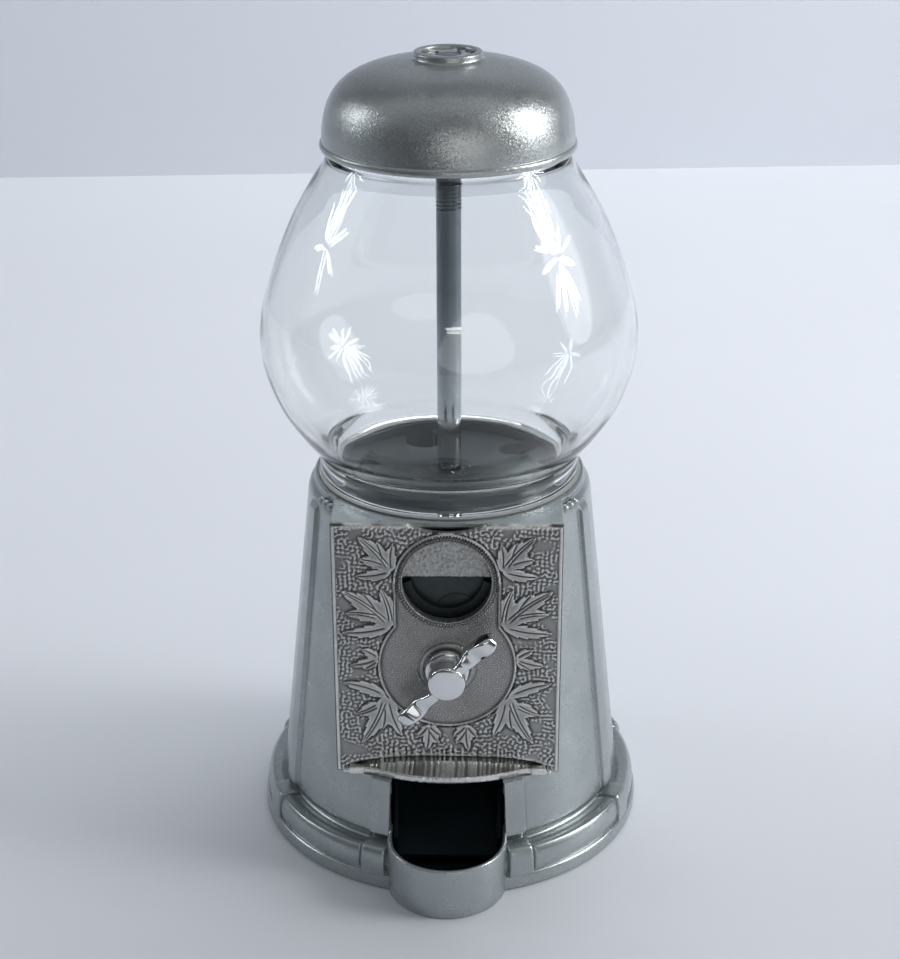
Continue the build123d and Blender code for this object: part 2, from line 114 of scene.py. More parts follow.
def catmull(P, per=8):
    P = np.array(P, float)
    Q = np.vstack([2 * P[0] - P[1], P, 2 * P[-1] - P[-2]])
    out = []
    for i in range(1, len(Q) - 2):
        for t in np.arange(per) / per:
            a, b, c, d = Q[i - 1], Q[i], Q[i + 1], Q[i + 2]
            out.append(0.5 * ((2 * b) + (-a + c) * t + (2 * a - 5 * b + 4 * c - d) * t * t + (-a + 3 * b - 3 * c + d) * t ** 3))
    out.append(P[-1])
    return [p for p in out]


def densify(P, step):
    out = [np.array(P[0], float)]
    for p in P[1:]:
        p = np.array(p, float)
        n = max(1, int(math.ceil(np.linalg.norm(p - out[-1]) / step)))
        a = out[-1]
        for i in range(1, n + 1):
            out.append(a + (p - a) * i / n)
    return out


def lathe_data(prof, n=256, thetas=None, warp=None, off=0):
    """Turns a profile (r, z) about Z. A profile that starts and ends on the axis closes there; any other is a closed loop."""
    prof = np.array([tuple(p) for p in prof], float)
    th = np.linspace(0, TAU, n, endpoint=False) if thetas is None else np.asarray(thetas, float)
    n = len(th)
    axis = prof[0, 0] < 1e-6 and prof[-1, 0] < 1e-6
    mid = prof[1:-1] if axis else prof
    R = np.repeat(mid[None, :, 0], n, 0)
    Z = np.repeat(mid[None, :, 1], n, 0)
    T = np.repeat(th[:, None], len(mid), 1)
    if warp:
        R, Z = warp(T, R, Z)
    V = np.stack([R * np.cos(T), R * np.sin(T), Z], -1).reshape(-1, 3)
    m = len(mid)
    F = quads(n, m, True, not axis, off)
    if axis:
        V = np.vstack([V, [[0, 0, prof[0, 1]], [0, 0, prof[-1, 1]]]])
        a, b = off + n * m, off + n * m + 1
        F += [[a, off + ((i + 1) % n) * m, off + i * m] for i in range(n)]
        F += [[b, off + i * m + m - 1, off + ((i + 1) % n) * m + m - 1] for i in range(n)]
    return V, F


def lathe(name, prof, n=256, angle=32, **kw):
    V, F = lathe_data(prof, n, **kw)
    return obj(name, V, F, angle)


def y_axis(V, cx=0.0, cz=0.0):
    """A shape made about +Z becomes one about -Y through (cx, cz): its height z becomes -y."""
    V = np.asarray(V, float)
    return np.stack([V[:, 0] + cx, -V[:, 2], V[:, 1] + cz], -1)


def lathe_y(name, prof, cx, cz, n=128, angle=32, warp=None):
    """prof is (r, -y)."""
    V, F = lathe_data(prof, n, warp=warp)
    return obj(name, y_axis(V, cx, cz), F, angle)


def prism_data(outline, levels, off=0):
    """Stacks an outline (counter-clockwise) at levels (height, inset) and caps both ends."""
    O = np.array([tuple(p) for p in outline], float)
    n = len(O)
    t = np.roll(O, -1, 0) - np.roll(O, 1, 0)
    t /= np.maximum(np.linalg.norm(t, axis=1, keepdims=True), 1e-9)
    nor = np.stack([t[:, 1], -t[:, 0]], -1)
    V = []
    for h, inset in levels:
        q = O - nor * inset
        V.append(np.column_stack([q, np.full(n, h)]))
    m = len(levels)
    V = np.array(V).transpose(1, 0, 2).reshape(-1, 3)
    F = quads(n, m, True, False, off)
    F.append([off + i * m for i in range(n)][::-1])
    F.append([off + i * m + m - 1 for i in range(n)])
    return V, F


def round_levels(h0, h1, r0, r1, k=4):
    out = []
    if r0 > 0:
        out += [(h0 + r0 * (1 - math.cos(a)), r0 * (1 - math.sin(a))) for a in np.linspace(0, math.pi / 2, k + 1)]
    else:
        out.append((h0, 0.0))
    if r1 > 0:
        out += [(h1 - r1 * (1 - math.sin(a)), r1 * (1 - math.cos(a))) for a in np.linspace(0, math.pi / 2, k + 1)]
    else:
        out.append((h1, 0.0))
    return out


def boolean(a, b, op):
    m = a.modifiers.new("cut", "BOOLEAN")
    m.operation, m.solver, m.object = op, "MANIFOLD", b
    dg = bpy.context.evaluated_depsgraph_get()
    dg.update()
    me = bpy.data.meshes.new_from_object(a.evaluated_get(dg))
    n = len(me.polygons)
    if n < 4:
        raise RuntimeError(f"boolean {op} of {a.name} with {b.name} left {n} faces")
    a.modifiers.clear()
    old, a.data = a.data, me
    bpy.data.meshes.remove(old)
    bpy.data.objects.remove(b)
    return a


def cutter_box(x0, x1, y0, y1, z0, z1):
    V = [(x, y, z) for x in (x0, x1) for y in (y0, y1) for z in (z0, z1)]
    F = [[0, 1, 3, 2], [4, 6, 7, 5], [0, 4, 5, 1], [2, 3, 7, 6], [0, 2, 6, 4], [1, 5, 7, 3]]
    return obj("cutter", V, F)


def join(a, others):
    """Adds closed shells to a."""
    bm = bmesh.new()
    bm.from_mesh(a.data)
    for o in others:
        bm.from_mesh(o.data)
    bm.to_mesh(a.data)
    bm.free()
    for o in others:
        me = o.data
        bpy.data.objects.remove(o)
        bpy.data.meshes.remove(me)
    a.data.update()
    return a


def smooth(o, angle=32):
    me = o.data
    me.polygons.foreach_set("use_smooth", np.ones(len(me.polygons), bool))
    me.set_sharp_from_angle(angle=math.radians(angle))
    return o


def coords(o):
    co = np.zeros(len(o.data.vertices) * 3)
    o.data.vertices.foreach_get("co", co)
    return co.reshape(-1, 3) / MM


def attribute(o, name, values):
    a = o.data.attributes.get(name) or o.data.attributes.new(name, "FLOAT", "POINT")
    a.data.foreach_set("value", np.asarray(values, np.float32))


def sstep(a, b, x):
    t = np.clip((x - a) / (b - a), 0, 1)
    return t * t * (3 - 2 * t)


# ------------------------------------------------------------------ materials
def nd(nt, kind, props=None, ins=None):
    n = nt.nodes.new("ShaderNode" + kind)
    for k, v in (props or {}).items():
        setattr(n, k, v)
    for k, v in (ins or {}).items():
        s = n.inputs[k]
        if isinstance(v, bpy.types.NodeSocket):
            nt.links.new(v, s)
        else:
            s.default_value = v
    return n


class Mat:
    """A material under construction; coordinates are in millimetres of the rest pose."""

    def __init__(self, name):
        self.m = bpy.data.materials.new(name)
        self.m.use_nodes = True
        self.nt = self.m.node_tree
        self.nt.nodes.clear()
        self.out = self.nt.nodes.new("ShaderNodeOutputMaterial")
        tc = nd(self.nt, "TexCoord")
        self.P = nd(self.nt, "VectorMath", {"operation": "SCALE"}, {0: tc.outputs["Object"], "Scale": 1000.0}).outputs[0]

    def noise(self, scale, detail=3.0, rough=0.55, stretch=None, dist=0.0):
        p = self.P
        if stretch:
            p = nd(self.nt, "VectorMath", {"operation": "MULTIPLY"}, {0: p, 1: stretch}).outputs[0]
        return nd(self.nt, "TexNoise", None, {"Vector": p, "Scale": scale, "Detail": detail, "Roughness": rough, "Distortion": dist}).outputs["Fac"]

    def voronoi(self, scale, feature="F1", out="Distance"):
        return nd(self.nt, "TexVoronoi", {"feature": feature}, {"Vector": self.P, "Scale": scale}).outputs[out]

    def ramp(self, fac, stops, interp="LINEAR"):
        n = nd(self.nt, "ValToRGB", None, {"Fac": fac})
        n.color_ramp.interpolation = interp
        el = n.color_ramp.elements
        while len(el) > 1:
            el.remove(el[-1])
        for i, (p, c) in enumerate(stops):
            e = el[0] if i == 0 else el.new(p)
            e.position = p
            e.color = (*c, 1) if len(c) == 3 else c
        return n.outputs["Color"]

    def remap(self, fac, a, b, c, d):
        return nd(self.nt, "MapRange", None, {"Value": fac, "From Min": a, "From Max": b, "To Min": c, "To Max": d}).outputs["Result"]

    def math(self, op, a, b=0.0):
        return nd(self.nt, "Math", {"operation": op}, {0: a, 1: b}).outputs[0]

    def mix(self, fac, a, b, blend="MIX"):
        n = self.nt.nodes.new("ShaderNodeMix")
        n.data_type, n.blend_type = "RGBA", blend
        for i, v in ((0, fac), (6, a), (7, b)):
            if isinstance(v, bpy.types.NodeSocket):
                self.nt.links.new(v, n.inputs[i])
            else:
                n.inputs[i].default_value = v if i == 0 else (*v, 1)
        return n.outputs[2]

    def attr(self, name):
        return nd(self.nt, "Attribute", {"attribute_name": name}).outputs["Fac"]

    def bump(self, height, strength, distance_mm, normal=None):
        ins = {"Height": height, "Strength": strength, "Distance": distance_mm * MM}
        if normal is not None:
            ins["Normal"] = normal
        return nd(self.nt, "Bump", None, ins).outputs["Normal"]

    def surface(self, color, rough, metallic=0.0, normal=None, **fixed):
        ins = {"Base Color": color if isinstance(color, bpy.types.NodeSocket) else (*color, 1), "Roughness": rough, "Metallic": metallic}
        if normal is not None:
            ins["Normal"] = normal
        ins.update(fixed)
        p = nd(self.nt, "BsdfPrincipled", None, ins)
        self.bsdf = p
        self.nt.links.new(p.outputs[0], self.out.inputs[0])
        return self.m


def paint_body():
    a = Mat("silver_enamel")
    tone = a.noise(0.045, 4, 0.6)
    fine = a.noise(2.6, 2, 0.6)
    c = a.ramp(tone, [(0.3, (0.355, 0.392, 0.398)), (0.7, (0.43, 0.467, 0.472))])
    c = a.mix(a.remap(fine, 0.35, 0.7, 0.0, 0.2), c, (0.50, 0.53, 0.535))
    scuff = a.noise(0.35, 6, 0.7, dist=0.6)
    c = a.mix(a.remap(scuff, 0.68, 0.82, 0.0, 0.35), c, (0.20, 0.225, 0.23))
    r = a.math("ADD", a.remap(a.noise(0.12, 4), 0.3, 0.7, 0.24, 0.34), a.remap(fine, 0.3, 0.7, -0.03, 0.05))
    n = a.bump(a.noise(0.16, 3, 0.5), 0.35, 0.28)
    n = a.bump(a.noise(1.5, 3, 0.6), 0.18, 0.10, n)
    return a.surface(c, r, 0.8, n, **{"Coat Weight": 0.3, "Coat Roughness": 0.14})


def paint_lid():
    a = Mat("dark_sparkle_enamel")
    cell = a.voronoi(4.2, out="Color")
    tone = a.noise(0.05, 3)
    c = a.ramp(tone, [(0.3, (0.43, 0.46, 0.462)), (0.7, (0.52, 0.548, 0.55))])
    sep = nd(a.nt, "SeparateColor", None, {"Color": cell})
    c = a.mix(a.remap(sep.outputs[0], 0.55, 1.0, 0.0, 0.75), c, (0.66, 0.68, 0.68))
    geo = nd(a.nt, "NewGeometry")
    shift = nd(a.nt, "VectorMath", {"operation": "SUBTRACT"}, {0: cell, 1: (0.5, 0.5, 0.5)}).outputs[0]
    shift = nd(a.nt, "VectorMath", {"operation": "SCALE"}, {0: shift, "Scale": 0.24}).outputs[0]
    nn = nd(a.nt, "VectorMath", {"operation": "ADD"}, {0: geo.outputs["Normal"], 1: shift}).outputs[0]
    nn = nd(a.nt, "VectorMath", {"operation": "NORMALIZE"}, {0: nn}).outputs[0]
    n = a.bump(a.noise(1.4, 2), 0.10, 0.08, nn)
    r = a.remap(a.noise(0.2, 4), 0.3, 0.7, 0.30, 0.40)
    return a.surface(c, r, 0.9, n, **{"Coat Weight": 0.35, "Coat Roughness": 0.12})


def cast_plate():
    a = Mat("aged_nickel")
    patina_and_shade, high = a.attr("patina_shade_glint"), a.attr("relief")
    stain = a.noise(0.09, 5, 0.62, dist=0.4)
    grain = a.noise(3.0, 3, 0.65)
    # the attribute read here is dark in the hollows as patina; on the recess above the lip it also carries painted
    # shade, and on the lip painted shade and painted glints
    base = a.ramp(patina_and_shade, [(0.0, (0.05, 0.053, 0.053)), (0.26, (0.13, 0.133, 0.128)), (0.48, (0.365, 0.365, 0.355)), (0.72, (0.74, 0.735, 0.715)), (1.0, (0.95, 0.945, 0.925))])
    warm = a.mix(a.remap(stain, 0.45, 0.75, 0.0, 0.4), base, (0.20, 0.19, 0.165), "MIX")
    c = a.mix(a.remap(high, 0.3, 0.9, 0.0, 0.35), warm, (0.52, 0.52, 0.51))
    c = a.mix(a.remap(grain, 0.5, 0.75, 0.0, 0.35), c, (0.10, 0.10, 0.10))
    r = a.math("ADD", a.remap(patina_and_shade, 0.2, 0.8, 0.46, 0.27), a.remap(grain, 0.3, 0.7, -0.04, 0.06))
    peb = a.voronoi(1.65)
    n = a.bump(a.math("MULTIPLY", a.remap(peb, 0.0, 0.55, 1.0, 0.0), a.attr("pebble")), 0.9, 0.13)
    n = a.bump(grain, 0.35, 0.06, n)
    return a.surface(c, r, 0.88, n)


def cast_guard():
    a = Mat("rough_cast")
    n1 = a.noise(1.1, 5, 0.7)
    c = a.ramp(n1, [(0.30, (0.28, 0.285, 0.28)), (0.48, (0.58, 0.585, 0.58)), (0.75, (0.76, 0.765, 0.76))])
    n = a.bump(n1, 0.8, 0.25)
    return a.surface(c, a.remap(n1, 0.3, 0.7, 0.62, 0.48), 0.45, n)


def chrome(name="bright_chrome", rough=0.05, tint=(0.80, 0.81, 0.82)):
    a = Mat(name)
    smear = a.noise(0.22, 5, 0.6, dist=0.5)
    c = a.mix(a.remap(smear, 0.4, 0.75, 0.0, 0.25), tint, tuple(0.86 * x for x in tint))
    r = a.remap(smear, 0.35, 0.75, rough, rough + 0.09)
    n = a.bump(a.noise(3.0, 2), 0.05, 0.02)
    n = a.bump(a.noise(0.25, 2), 0.10, 0.10, n)
    return a.surface(c, r, 1.0, n)


def rod_painted_reflection():
    a = Mat("rod_painted_reflection")
    z = nd(a.nt, "SeparateXYZ", None, {0: a.P}).outputs["Z"]
    smear = a.noise(0.22, 5, 0.6, dist=0.5)
    # painted reflection: the rod is light at the bottom and dark from about z 200 mm up, standing in for the pale floor
    # and the dark room the plating reflects
    c = a.ramp(a.remap(z, 130, 240, 0, 1), [(0.0, (0.62, 0.65, 0.67)), (0.32, (0.42, 0.45, 0.47)), (0.62, (0.17, 0.195, 0.215)), (1.0, (0.15, 0.175, 0.195))])
    c = a.mix(a.remap(smear, 0.4, 0.75, 0.0, 0.25), c, (0.30, 0.31, 0.32))
    n = a.bump(a.noise(0.25, 2), 0.10, 0.10)
    return a.surface(c, a.remap(smear, 0.35, 0.75, 0.07, 0.16), 1.0, n)


def dark_satin(name, lo, hi, rough=0.42, metallic=0.3, spec=0.5):
    a = Mat(name)
    t = a.noise(0.12, 5, 0.6)
    sp = a.noise(3.5, 2, 0.6)
    c = a.ramp(t, [(0.3, lo), (0.7, hi)])
    c = a.mix(a.remap(sp, 0.6, 0.75, 0.0, 0.35), c, tuple(min(1, 1.9 * x) for x in hi))
    n = a.bump(a.noise(1.3, 3), 0.22, 0.08)
    return a.surface(c, a.remap(t, 0.3, 0.7, rough - 0.06, rough + 0.08), metallic, n, **{"Specular IOR Level": spec})


def turned(name, lo, hi, rough=0.3, axis="z"):
    """Machined or plated steel: fine streaks, slight tarnish."""
    a = Mat(name)
    st = {"z": (0.4, 0.4, 9.0), "y": (0.4, 9.0, 0.4)}[axis]
    streak = a.noise(0.9, 4, 0.7, stretch=st)
    tar = a.noise(0.11, 4, 0.6)
    c = a.ramp(tar, [(0.3, lo), (0.7, hi)])
    c = a.mix(a.remap(streak, 0.5, 0.8, 0.0, 0.3), c, tuple(0.6 * x for x in lo))
    n = a.bump(streak, 0.15, 0.03)
    return a.surface(c, a.remap(tar, 0.3, 0.7, rough - 0.07, rough + 0.1), 1.0, n)


def rubber():
    a = Mat("grey_rubber")
    t = a.noise(0.8, 4, 0.6)
    c = a.ramp(t, [(0.3, (0.20, 0.21, 0.21)), (0.7, (0.27, 0.28, 0.28))])
    return a.surface(c, a.remap(t, 0.3, 0.7, 0.55, 0.72), 0.0, a.bump(t, 0.3, 0.06))


def clear_glass():
    a = Mat("clear_glass")
    wave = a.noise(0.035, 2, 0.4)
    n = a.bump(wave, 0.25, 0.5)
    dust = a.noise(0.5, 6, 0.7)
    g = nd(a.nt, "BsdfPrincipled", None, {"Base Color": (0.985, 0.995, 0.992, 1), "Roughness": a.remap(dust, 0.5, 0.8, 0.0, 0.03), "IOR": 1.48, "Transmission Weight": 1.0, "Normal": n})
    t = nd(a.nt, "BsdfTransparent", None, {"Color": (0.95, 0.965, 0.97, 1)})
    lp = nd(a.nt, "LightPath")
    mixs = nd(a.nt, "MixShader", None, {0: lp.outputs["Is Shadow Ray"], 1: g.outputs[0], 2: t.outputs[0]})
    a.nt.links.new(mixs.outputs[0], a.out.inputs[0])
    return a.m


M = {
    "body_paint": paint_body(), "lid_paint": paint_lid(), "plate_nickel": cast_plate(), "guard_cast": cast_guard(),
    "handle_chrome": chrome(), "rod_chrome": rod_painted_reflection(), "clear_glass": clear_glass(),
    "hopper_dark": dark_satin("hopper_enamel", (0.008, 0.013, 0.015), (0.014, 0.020, 0.023), 0.5, 0.0, 0.18),
    "wheel_black": dark_satin("wheel_moulding", (0.010, 0.015, 0.016), (0.016, 0.022, 0.024), 0.46, 0.0, 0.25),
    "chute_black": dark_satin("chute_moulding", (0.0014, 0.0065, 0.0085), (0.003, 0.011, 0.014), 0.55, 0.0, 0.2),
    "inside_black_and_painted_shade": dark_satin("inside_black_and_painted_shade", (0.0018, 0.0065, 0.0085), (0.0035, 0.011, 0.014), 0.6, 0.0, 0.2),
    "zinc": turned("zinc_plate", (0.42, 0.43, 0.43), (0.55, 0.56, 0.55), 0.36, "y"),
    "steel": turned("plain_steel", (0.40, 0.40, 0.40), (0.52, 0.52, 0.52), 0.28, "z"),
    "carrier_dark": dark_satin("carrier_oxide", (0.020, 0.029, 0.030), (0.034, 0.045, 0.046), 0.36, 0.3),
    # a plain dark grey, for the frame and the stop behind the window
    "frame_dark": dark_satin("frame_dark_grey", (0.042, 0.056, 0.057), (0.062, 0.078, 0.079), 0.34, 0.4),
    "gear": turned("gear_metal", (0.36, 0.35, 0.33), (0.48, 0.47, 0.44), 0.34, "z"),
    "gasket": rubber(),
}

slot_of = {}
for mrow in frame["record"].get("materials", []):
    for part in mrow.get("parts", mrow.get("nodes", [])) or []:
        slot_of[part] = mrow.get("slot")


def dress(o, slot, body, *nodes, material=None):
    o.data.materials.clear()
    o.data.materials.append(material or M[slot])
    o.data.polygons.foreach_set("material_index", np.zeros(len(o.data.polygons), np.int32))
    if nodes:
        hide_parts(*nodes)
    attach(o, body)
    return o


# ------------------------------------------------------------------ body casting
HW = 38.75
straps = []
for q in (0, 90, 180, 270):
    straps += [q + 18.6, q - 18.6 - 7.5]
straps = [s % 360 for s in straps]


def strap_mask(deg, soft=0.22):
    m = np.zeros_like(deg)
    for s in straps:
        d = np.abs((deg - (s + 3.75) + 180) % 360 - 180)
        m = np.maximum(m, 1 - sstep(3.75 - soft * 2.4, 3.75 + soft * 0.2, d))
    return m


ths = set(np.round(np.arange(0, 360, 1.0), 3).tolist())
for s in straps:
    for e in (s, s + 7.5):
        sg = 1 if e == s else -1
        for d in (-1.3, -1.05, -0.85, -0.7, -0.55, -0.4, -0.25, -0.12, 0.0, 0.12, 0.26, 0.38, 0.5, 0.64):
            ths.add(round((e + sg * d) % 360, 3))
ths = np.radians(np.array(sorted(ths)))

P = [(0, 0), (68.9, 0), (69.5, 0.6), (69.5, 4.7), (68.8, 5.4), (68.3, 5.4), (68.3, 6.0), (68.7, 8.4), (68.6, 10.6), (68.0, 12.8), (67.2, 14.1),
     (66.4, 14.5), (64.2, 14.5), (61.2, 13.6), (60.4, 14.4), (60.4, 16.6), (61.8, 17.5), (61.4, 21.5), (50.2, 124), (49.9, 127.3), (49.2, 129.3),
     (48.0, 130.2), (47.55, 130.6), (47.55, 131.3), (47.3, 131.5), (47.3, 131.75), (47.55, 131.95), (47.55, 132.8), (47.05, 133.3), (46.6, 133.3), (46.5, 133.05), (46.2, 133.05), (46.1, 133.3), (0, 133.3)]
R_ = [0, 0.4, 0.4, 0.5, 0.5, 0.15, 0.3, 1.5, 1.2, 0.9, 0.8, 0.8, 1.0, 0.5, 0.4, 0.5, 0.45, 1.5, 3, 1.5, 0.8, 0.4, 0.2, 0.1, 0.1, 0.1, 0.1, 0.35, 0.35, 0.1, 0.08, 0.08, 0.1, 0]
prof = densify(fillet(P, R_, 4), 2.2)


def body_warp(T, R, Z):
    deg = np.degrees(T)
    w = strap_mask(deg) * sstep(17.3, 18.0, Z) * (1 - sstep(125.5, 128.2, Z))
    keep = (R > 47)
    g = np.zeros_like(deg)
    for s in straps:
        d = np.abs((deg - (s + 3.75) + 180) % 360 - 180)
        g = np.maximum(g, np.exp(-((d - 4.2) / 0.36) ** 2))
    low = sstep(5.2, 6.2, Z) * (1 - sstep(17.0, 17.4, Z)) * (R > 58)
    col = sstep(17.6, 19.0, Z) * (1 - sstep(124, 127, Z)) * keep
    return R + 1.2 * w * keep - 1.1 * g * low - 0.28 * g * col, Z


body = lathe("body", prof, thetas=ths, warp=body_warp)
# blocks across the foot moulding, one under each strap
bl = fillet([(60.5, 4.6), (69.25, 4.6), (69.4, 8.6), (69.3, 12.0), (68.6, 14.4), (67.6, 15.6), (62.0, 15.6), (60.5, 14.0)], [0, 0, 1, 1.5, 1, 0.8, 0.8, 0], 4, True)
bl = np.array(bl)
for s in straps:
    V, rows = [], []
    edge = [(-3.75, 1.0), (-3.7, 0.62), (-3.56, 0.34), (-3.3, 0.13), (-2.9, 0.03), (-2.3, 0.0), (0, 0.0), (2.3, 0.0), (2.9, 0.03), (3.3, 0.13), (3.56, 0.34), (3.7, 0.62), (3.75, 1.0)]
    c = bl.mean(0)
    for a, ins in edge:
        q = bl + (c - bl) * (ins / np.maximum(np.linalg.norm(bl - c, axis=1, keepdims=True), 1e-6))
        t = math.radians(s + 3.75 + a)
        V.append(np.column_stack([q[:, 0] * math.cos(t), q[:, 0] * math.sin(t), q[:, 1]]))
    m = len(bl)
    F = quads(len(edge), m, False, True)
    F.append(list(range(m))[::-1])
    F.append([(len(edge) - 1) * m + i for i in range(m)])
    boolean(body, obj("block", np.array(V).reshape(-1, 3), F), "UNION")

# block behind the plate, with softened edges
out = fillet([(-HW, -47.0), (HW, -47.0), (HW, -20), (-HW, -20)], [0.7, 0.7, 0, 0], 5, True)
V, F = prism_data(out, round_levels(38.5, 133.3, 0.35, 0.5))
boolean(body, obj("block", V, F), "UNION")
boolean(body, cutter_box(-HW - 0.05, HW + 0.05, -80, -47.0, 38.5, 140), "DIFFERENCE")

# chute cup
arc = [(20.8 * math.sin(a), -62 - 20.8 * math.cos(a)) for a in np.linspace(-math.pi / 2, math.pi / 2, 65)]
cup_out = [(-20.8, -45.6)] + densify([(-20.8, -46.0), (-20.8, -61.9)], 2.5) + arc[1:-1] + densify([(20.8, -61.9), (20.8, -46.0)], 2.5) + [(20.8, -45.6)]
V, F = prism_data(cup_out, [(0, 0.5), (0.15, 0.15), (0.5, 0.0), (5, 0.0), (10, 0), (15, 0)] + round_levels(16, 19.3, 0, 0.7, 5)[1:])
boolean(body, obj("cup", V, F), "UNION")
# inside of the foot, the column and the block
V, F = lathe_data(fillet([(0, -1), (63, -1), (63, 8), (57.6, 8), (57.6, 18), (47.2, 124), (46.4, 128.6), (45.4, 129.4), (0, 129.4)], [0, 0, 0.8, 1.0, 3, 3, 1, 0.5, 0], 3), 180)
boolean(body, obj("cutter", V, F), "DIFFERENCE")
boolean(body, cutter_box(-36.3, 36.3, -48, -15, 41, 129.4), "DIFFERENCE")
boolean(body, cutter_box(-13.7, 13.7, -47.1, -43.7, 128, 131.5), "DIFFERENCE")
# inside of the cup and the opening above it
arc_i = [(19.2 * math.sin(a), -62 - 19.2 * math.cos(a)) for a in np.linspace(-math.pi / 2, math.pi / 2, 65)]
cup_in = [(-19.2, -47.4), (-19.2, -55)] + arc_i + [(19.2, -55), (19.2, -47.4)]
V, F = prism_data(cup_in, [(4.0, 0.9), (4.12, 0.45), (4.45, 0.12), (4.9, 0.0), (12, 0.0), (18.6, 0.0), (18.95, -0.12), (19.2, -0.4), (19.35, -0.7), (34, -0.7)])
boolean(body, obj("cutter", V, F), "DIFFERENCE")
V, F = prism_data(cup_in, [(-1, 0.0), (2.2, 0.0)])
boolean(body, obj("cutter", V, F), "DIFFERENCE")
out = fillet([(-19.3, -62), (19.3, -62), (19.3, -40), (-19.3, -40)], 0, 1, True)
V, F = prism_data(out, [(14.0, 0), (38.6, 0)])
boolean(body, obj("cutter", V, F), "DIFFERENCE")
# floor, back wall and side walls of the cup
arc_f = [(20.2 * math.sin(a), -62 - 20.2 * math.cos(a)) for a in np.linspace(-math.pi / 2, math.pi / 2, 65)]
V, F = prism_data([(-20.2, -46.3)] + arc_f + [(20.2, -46.3)], [(2.2, 0), (4.0, 0)])
boolean(body, obj("floor_disc", V, F), "UNION")
boolean(body, cutter_box(-20.2, 20.2, -47.4, -46.0, 2.2, 13.2), "UNION")
for sx in (-1, 1):
    boolean(body, cutter_box(min(sx * 19.2, sx * 20.8), max(sx * 19.2, sx * 20.8), -61, -46, 2.2, 13.2), "UNION")
boolean(body, cutter_box(-21.8, 21.8, -45.999, -36, 1.0, 6.0), "DIFFERENCE")
# hopper well and its step
V, F = lathe_data([(0, 126), (40.3, 126), (40.3, 131.8), (43.2, 131.8), (43.2, 136), (0, 136)], 200)
boolean(body, obj("cutter", V, F), "DIFFERENCE")
# string of beads under the seat ring, between the straps
bm = bmesh.new()
for q in (45, 135, 225, 315):
    for k in range(10):
        t = math.radians(q + (k - 4.5) * 3.75)
        bmesh.ops.create_icosphere(bm, subdivisions=3, radius=1.5 * MM, matrix=Matrix.Translation(Vector((49.0 * math.cos(t), 49.0 * math.sin(t), 130.1)) * MM))
bme = bpy.data.meshes.new("beads")
bm.to_mesh(bme)
bm.free()
beads = bpy.data.objects.new("beads", bme)
scene.collection.objects.link(beads)
join(body, [beads])
smooth(body, 34)
dress(body, "body_paint", "base", "base_body")
# the inside of the cup is near-black like its black lining; the inside of the column and the block, grey casting, is
# painted near-black as shade
body.data.materials.append(M["inside_black_and_painted_shade"])
nf = len(body.data.polygons)
cen = np.zeros(nf * 3)
body.data.polygons.foreach_get("center", cen)
cen = cen.reshape(-1, 3) / MM
rr = np.hypot(cen[:, 0], cen[:, 1])
in_col = (rr < 57.72 - np.maximum(cen[:, 2] - 18, 0) * 0.0981) & (cen[:, 2] > 8.05) & (cen[:, 2] < 129.45)
in_col |= (np.abs(cen[:, 0]) < 36.35) & (cen[:, 1] > -46.99) & (cen[:, 1] < -14) & (cen[:, 2] > 40.9) & (cen[:, 2] < 129.45)
in_cup = (np.abs(cen[:, 0]) < 19.26) & (cen[:, 1] < -44) & (cen[:, 2] > 3.9) & (cen[:, 2] < 18.5) & ((cen[:, 1] > -62) | (np.hypot(cen[:, 0], cen[:, 1] + 62) < 19.26))
in_cup |= (np.abs(cen[:, 0]) < 19.4) & (cen[:, 1] > -60) & (cen[:, 1] < -44) & (cen[:, 2] > 3.9) & (cen[:, 2] < 38.45)
body.data.polygons.foreach_set("material_index", (in_col | in_cup).astype(np.int32))

# ------------------------------------------------------------------ front plate: relief as a height field
W2, Z0, Z1 = 38.7, 38.5, 133.3
STEP = 0.283
nx, nz = int(round(2 * W2 / STEP)) + 1, int(round((Z1 - Z0) / STEP)) + 1
gx, gz = np.linspace(-W2, W2, nx), np.linspace(Z0, Z1, nz)
X, Z = np.meshgrid(gx, gz, indexing="ij")
rng = np.random.default_rng(20417)


def band_noise(shape, step, wave, sharp, axes=0.0, seed=1):
    """Noise with one dominant wavelength in mm; axes leans its ridges to the horizontal, vertical and diagonals."""
    g = np.random.default_rng(seed).standard_normal(shape)
    f = np.fft.fft2(g)
    kx = np.fft.fftfreq(shape[0], step)[:, None]
    kz = np.fft.fftfreq(shape[1], step)[None, :]
    k = np.hypot(kx, kz) + 1e-9
    w = np.exp(-((k * wave - 1) / sharp) ** 2)
    ang = np.arctan2(kz, kx)
    w = w * (1 - axes + axes * np.abs(np.cos(2 * ang)) ** 6)
    n = np.real(np.fft.ifft2(f * w))
    return n / n.std()


maze_a = band_noise(X.shape, STEP, 1.55, 0.24, 0.62, 11)
maze_b = band_noise(X.shape, STEP, 1.65, 0.26, 0.15, 12)
side = sstep(20, 30, np.abs(X)) * sstep(46, 54, Z)
maze = np.where(side > 0.5, maze_a, maze_b) * 1.0
maze_n = maze_a * side + maze_b * (1 - side)
kx_ = np.fft.fftfreq(X.shape[0], STEP)[:, None]
kz_ = np.fft.fftfreq(X.shape[1], STEP)[None, :]
level = np.real(np.fft.ifft2(np.fft.fft2(maze_n ** 2) * np.exp(-2 * (np.pi * 1.5) ** 2 * (kx_ ** 2 + kz_ ** 2))))
maze_n = maze_n / np.sqrt(np.maximum(level, 0.06))
maze_h = sstep(0.0, 0.42, maze_n)
patch = band_noise(X.shape, STEP, 13.0, 0.5, 0.0, 13)
maze_h = maze_h * (0.55 + 0.45 * sstep(-1.3, -0.3, patch))

# keyhole field
d_win = np.hypot(X, Z - 112.4) - 17.6
d_low = np.hypot(X, Z - 80.5) - 23.2
d_neck = np.maximum(np.abs(X) - 17.7, np.maximum(90 - Z, Z - 112.4))
d_key = np.minimum(np.minimum(d_win, d_low), d_neck)

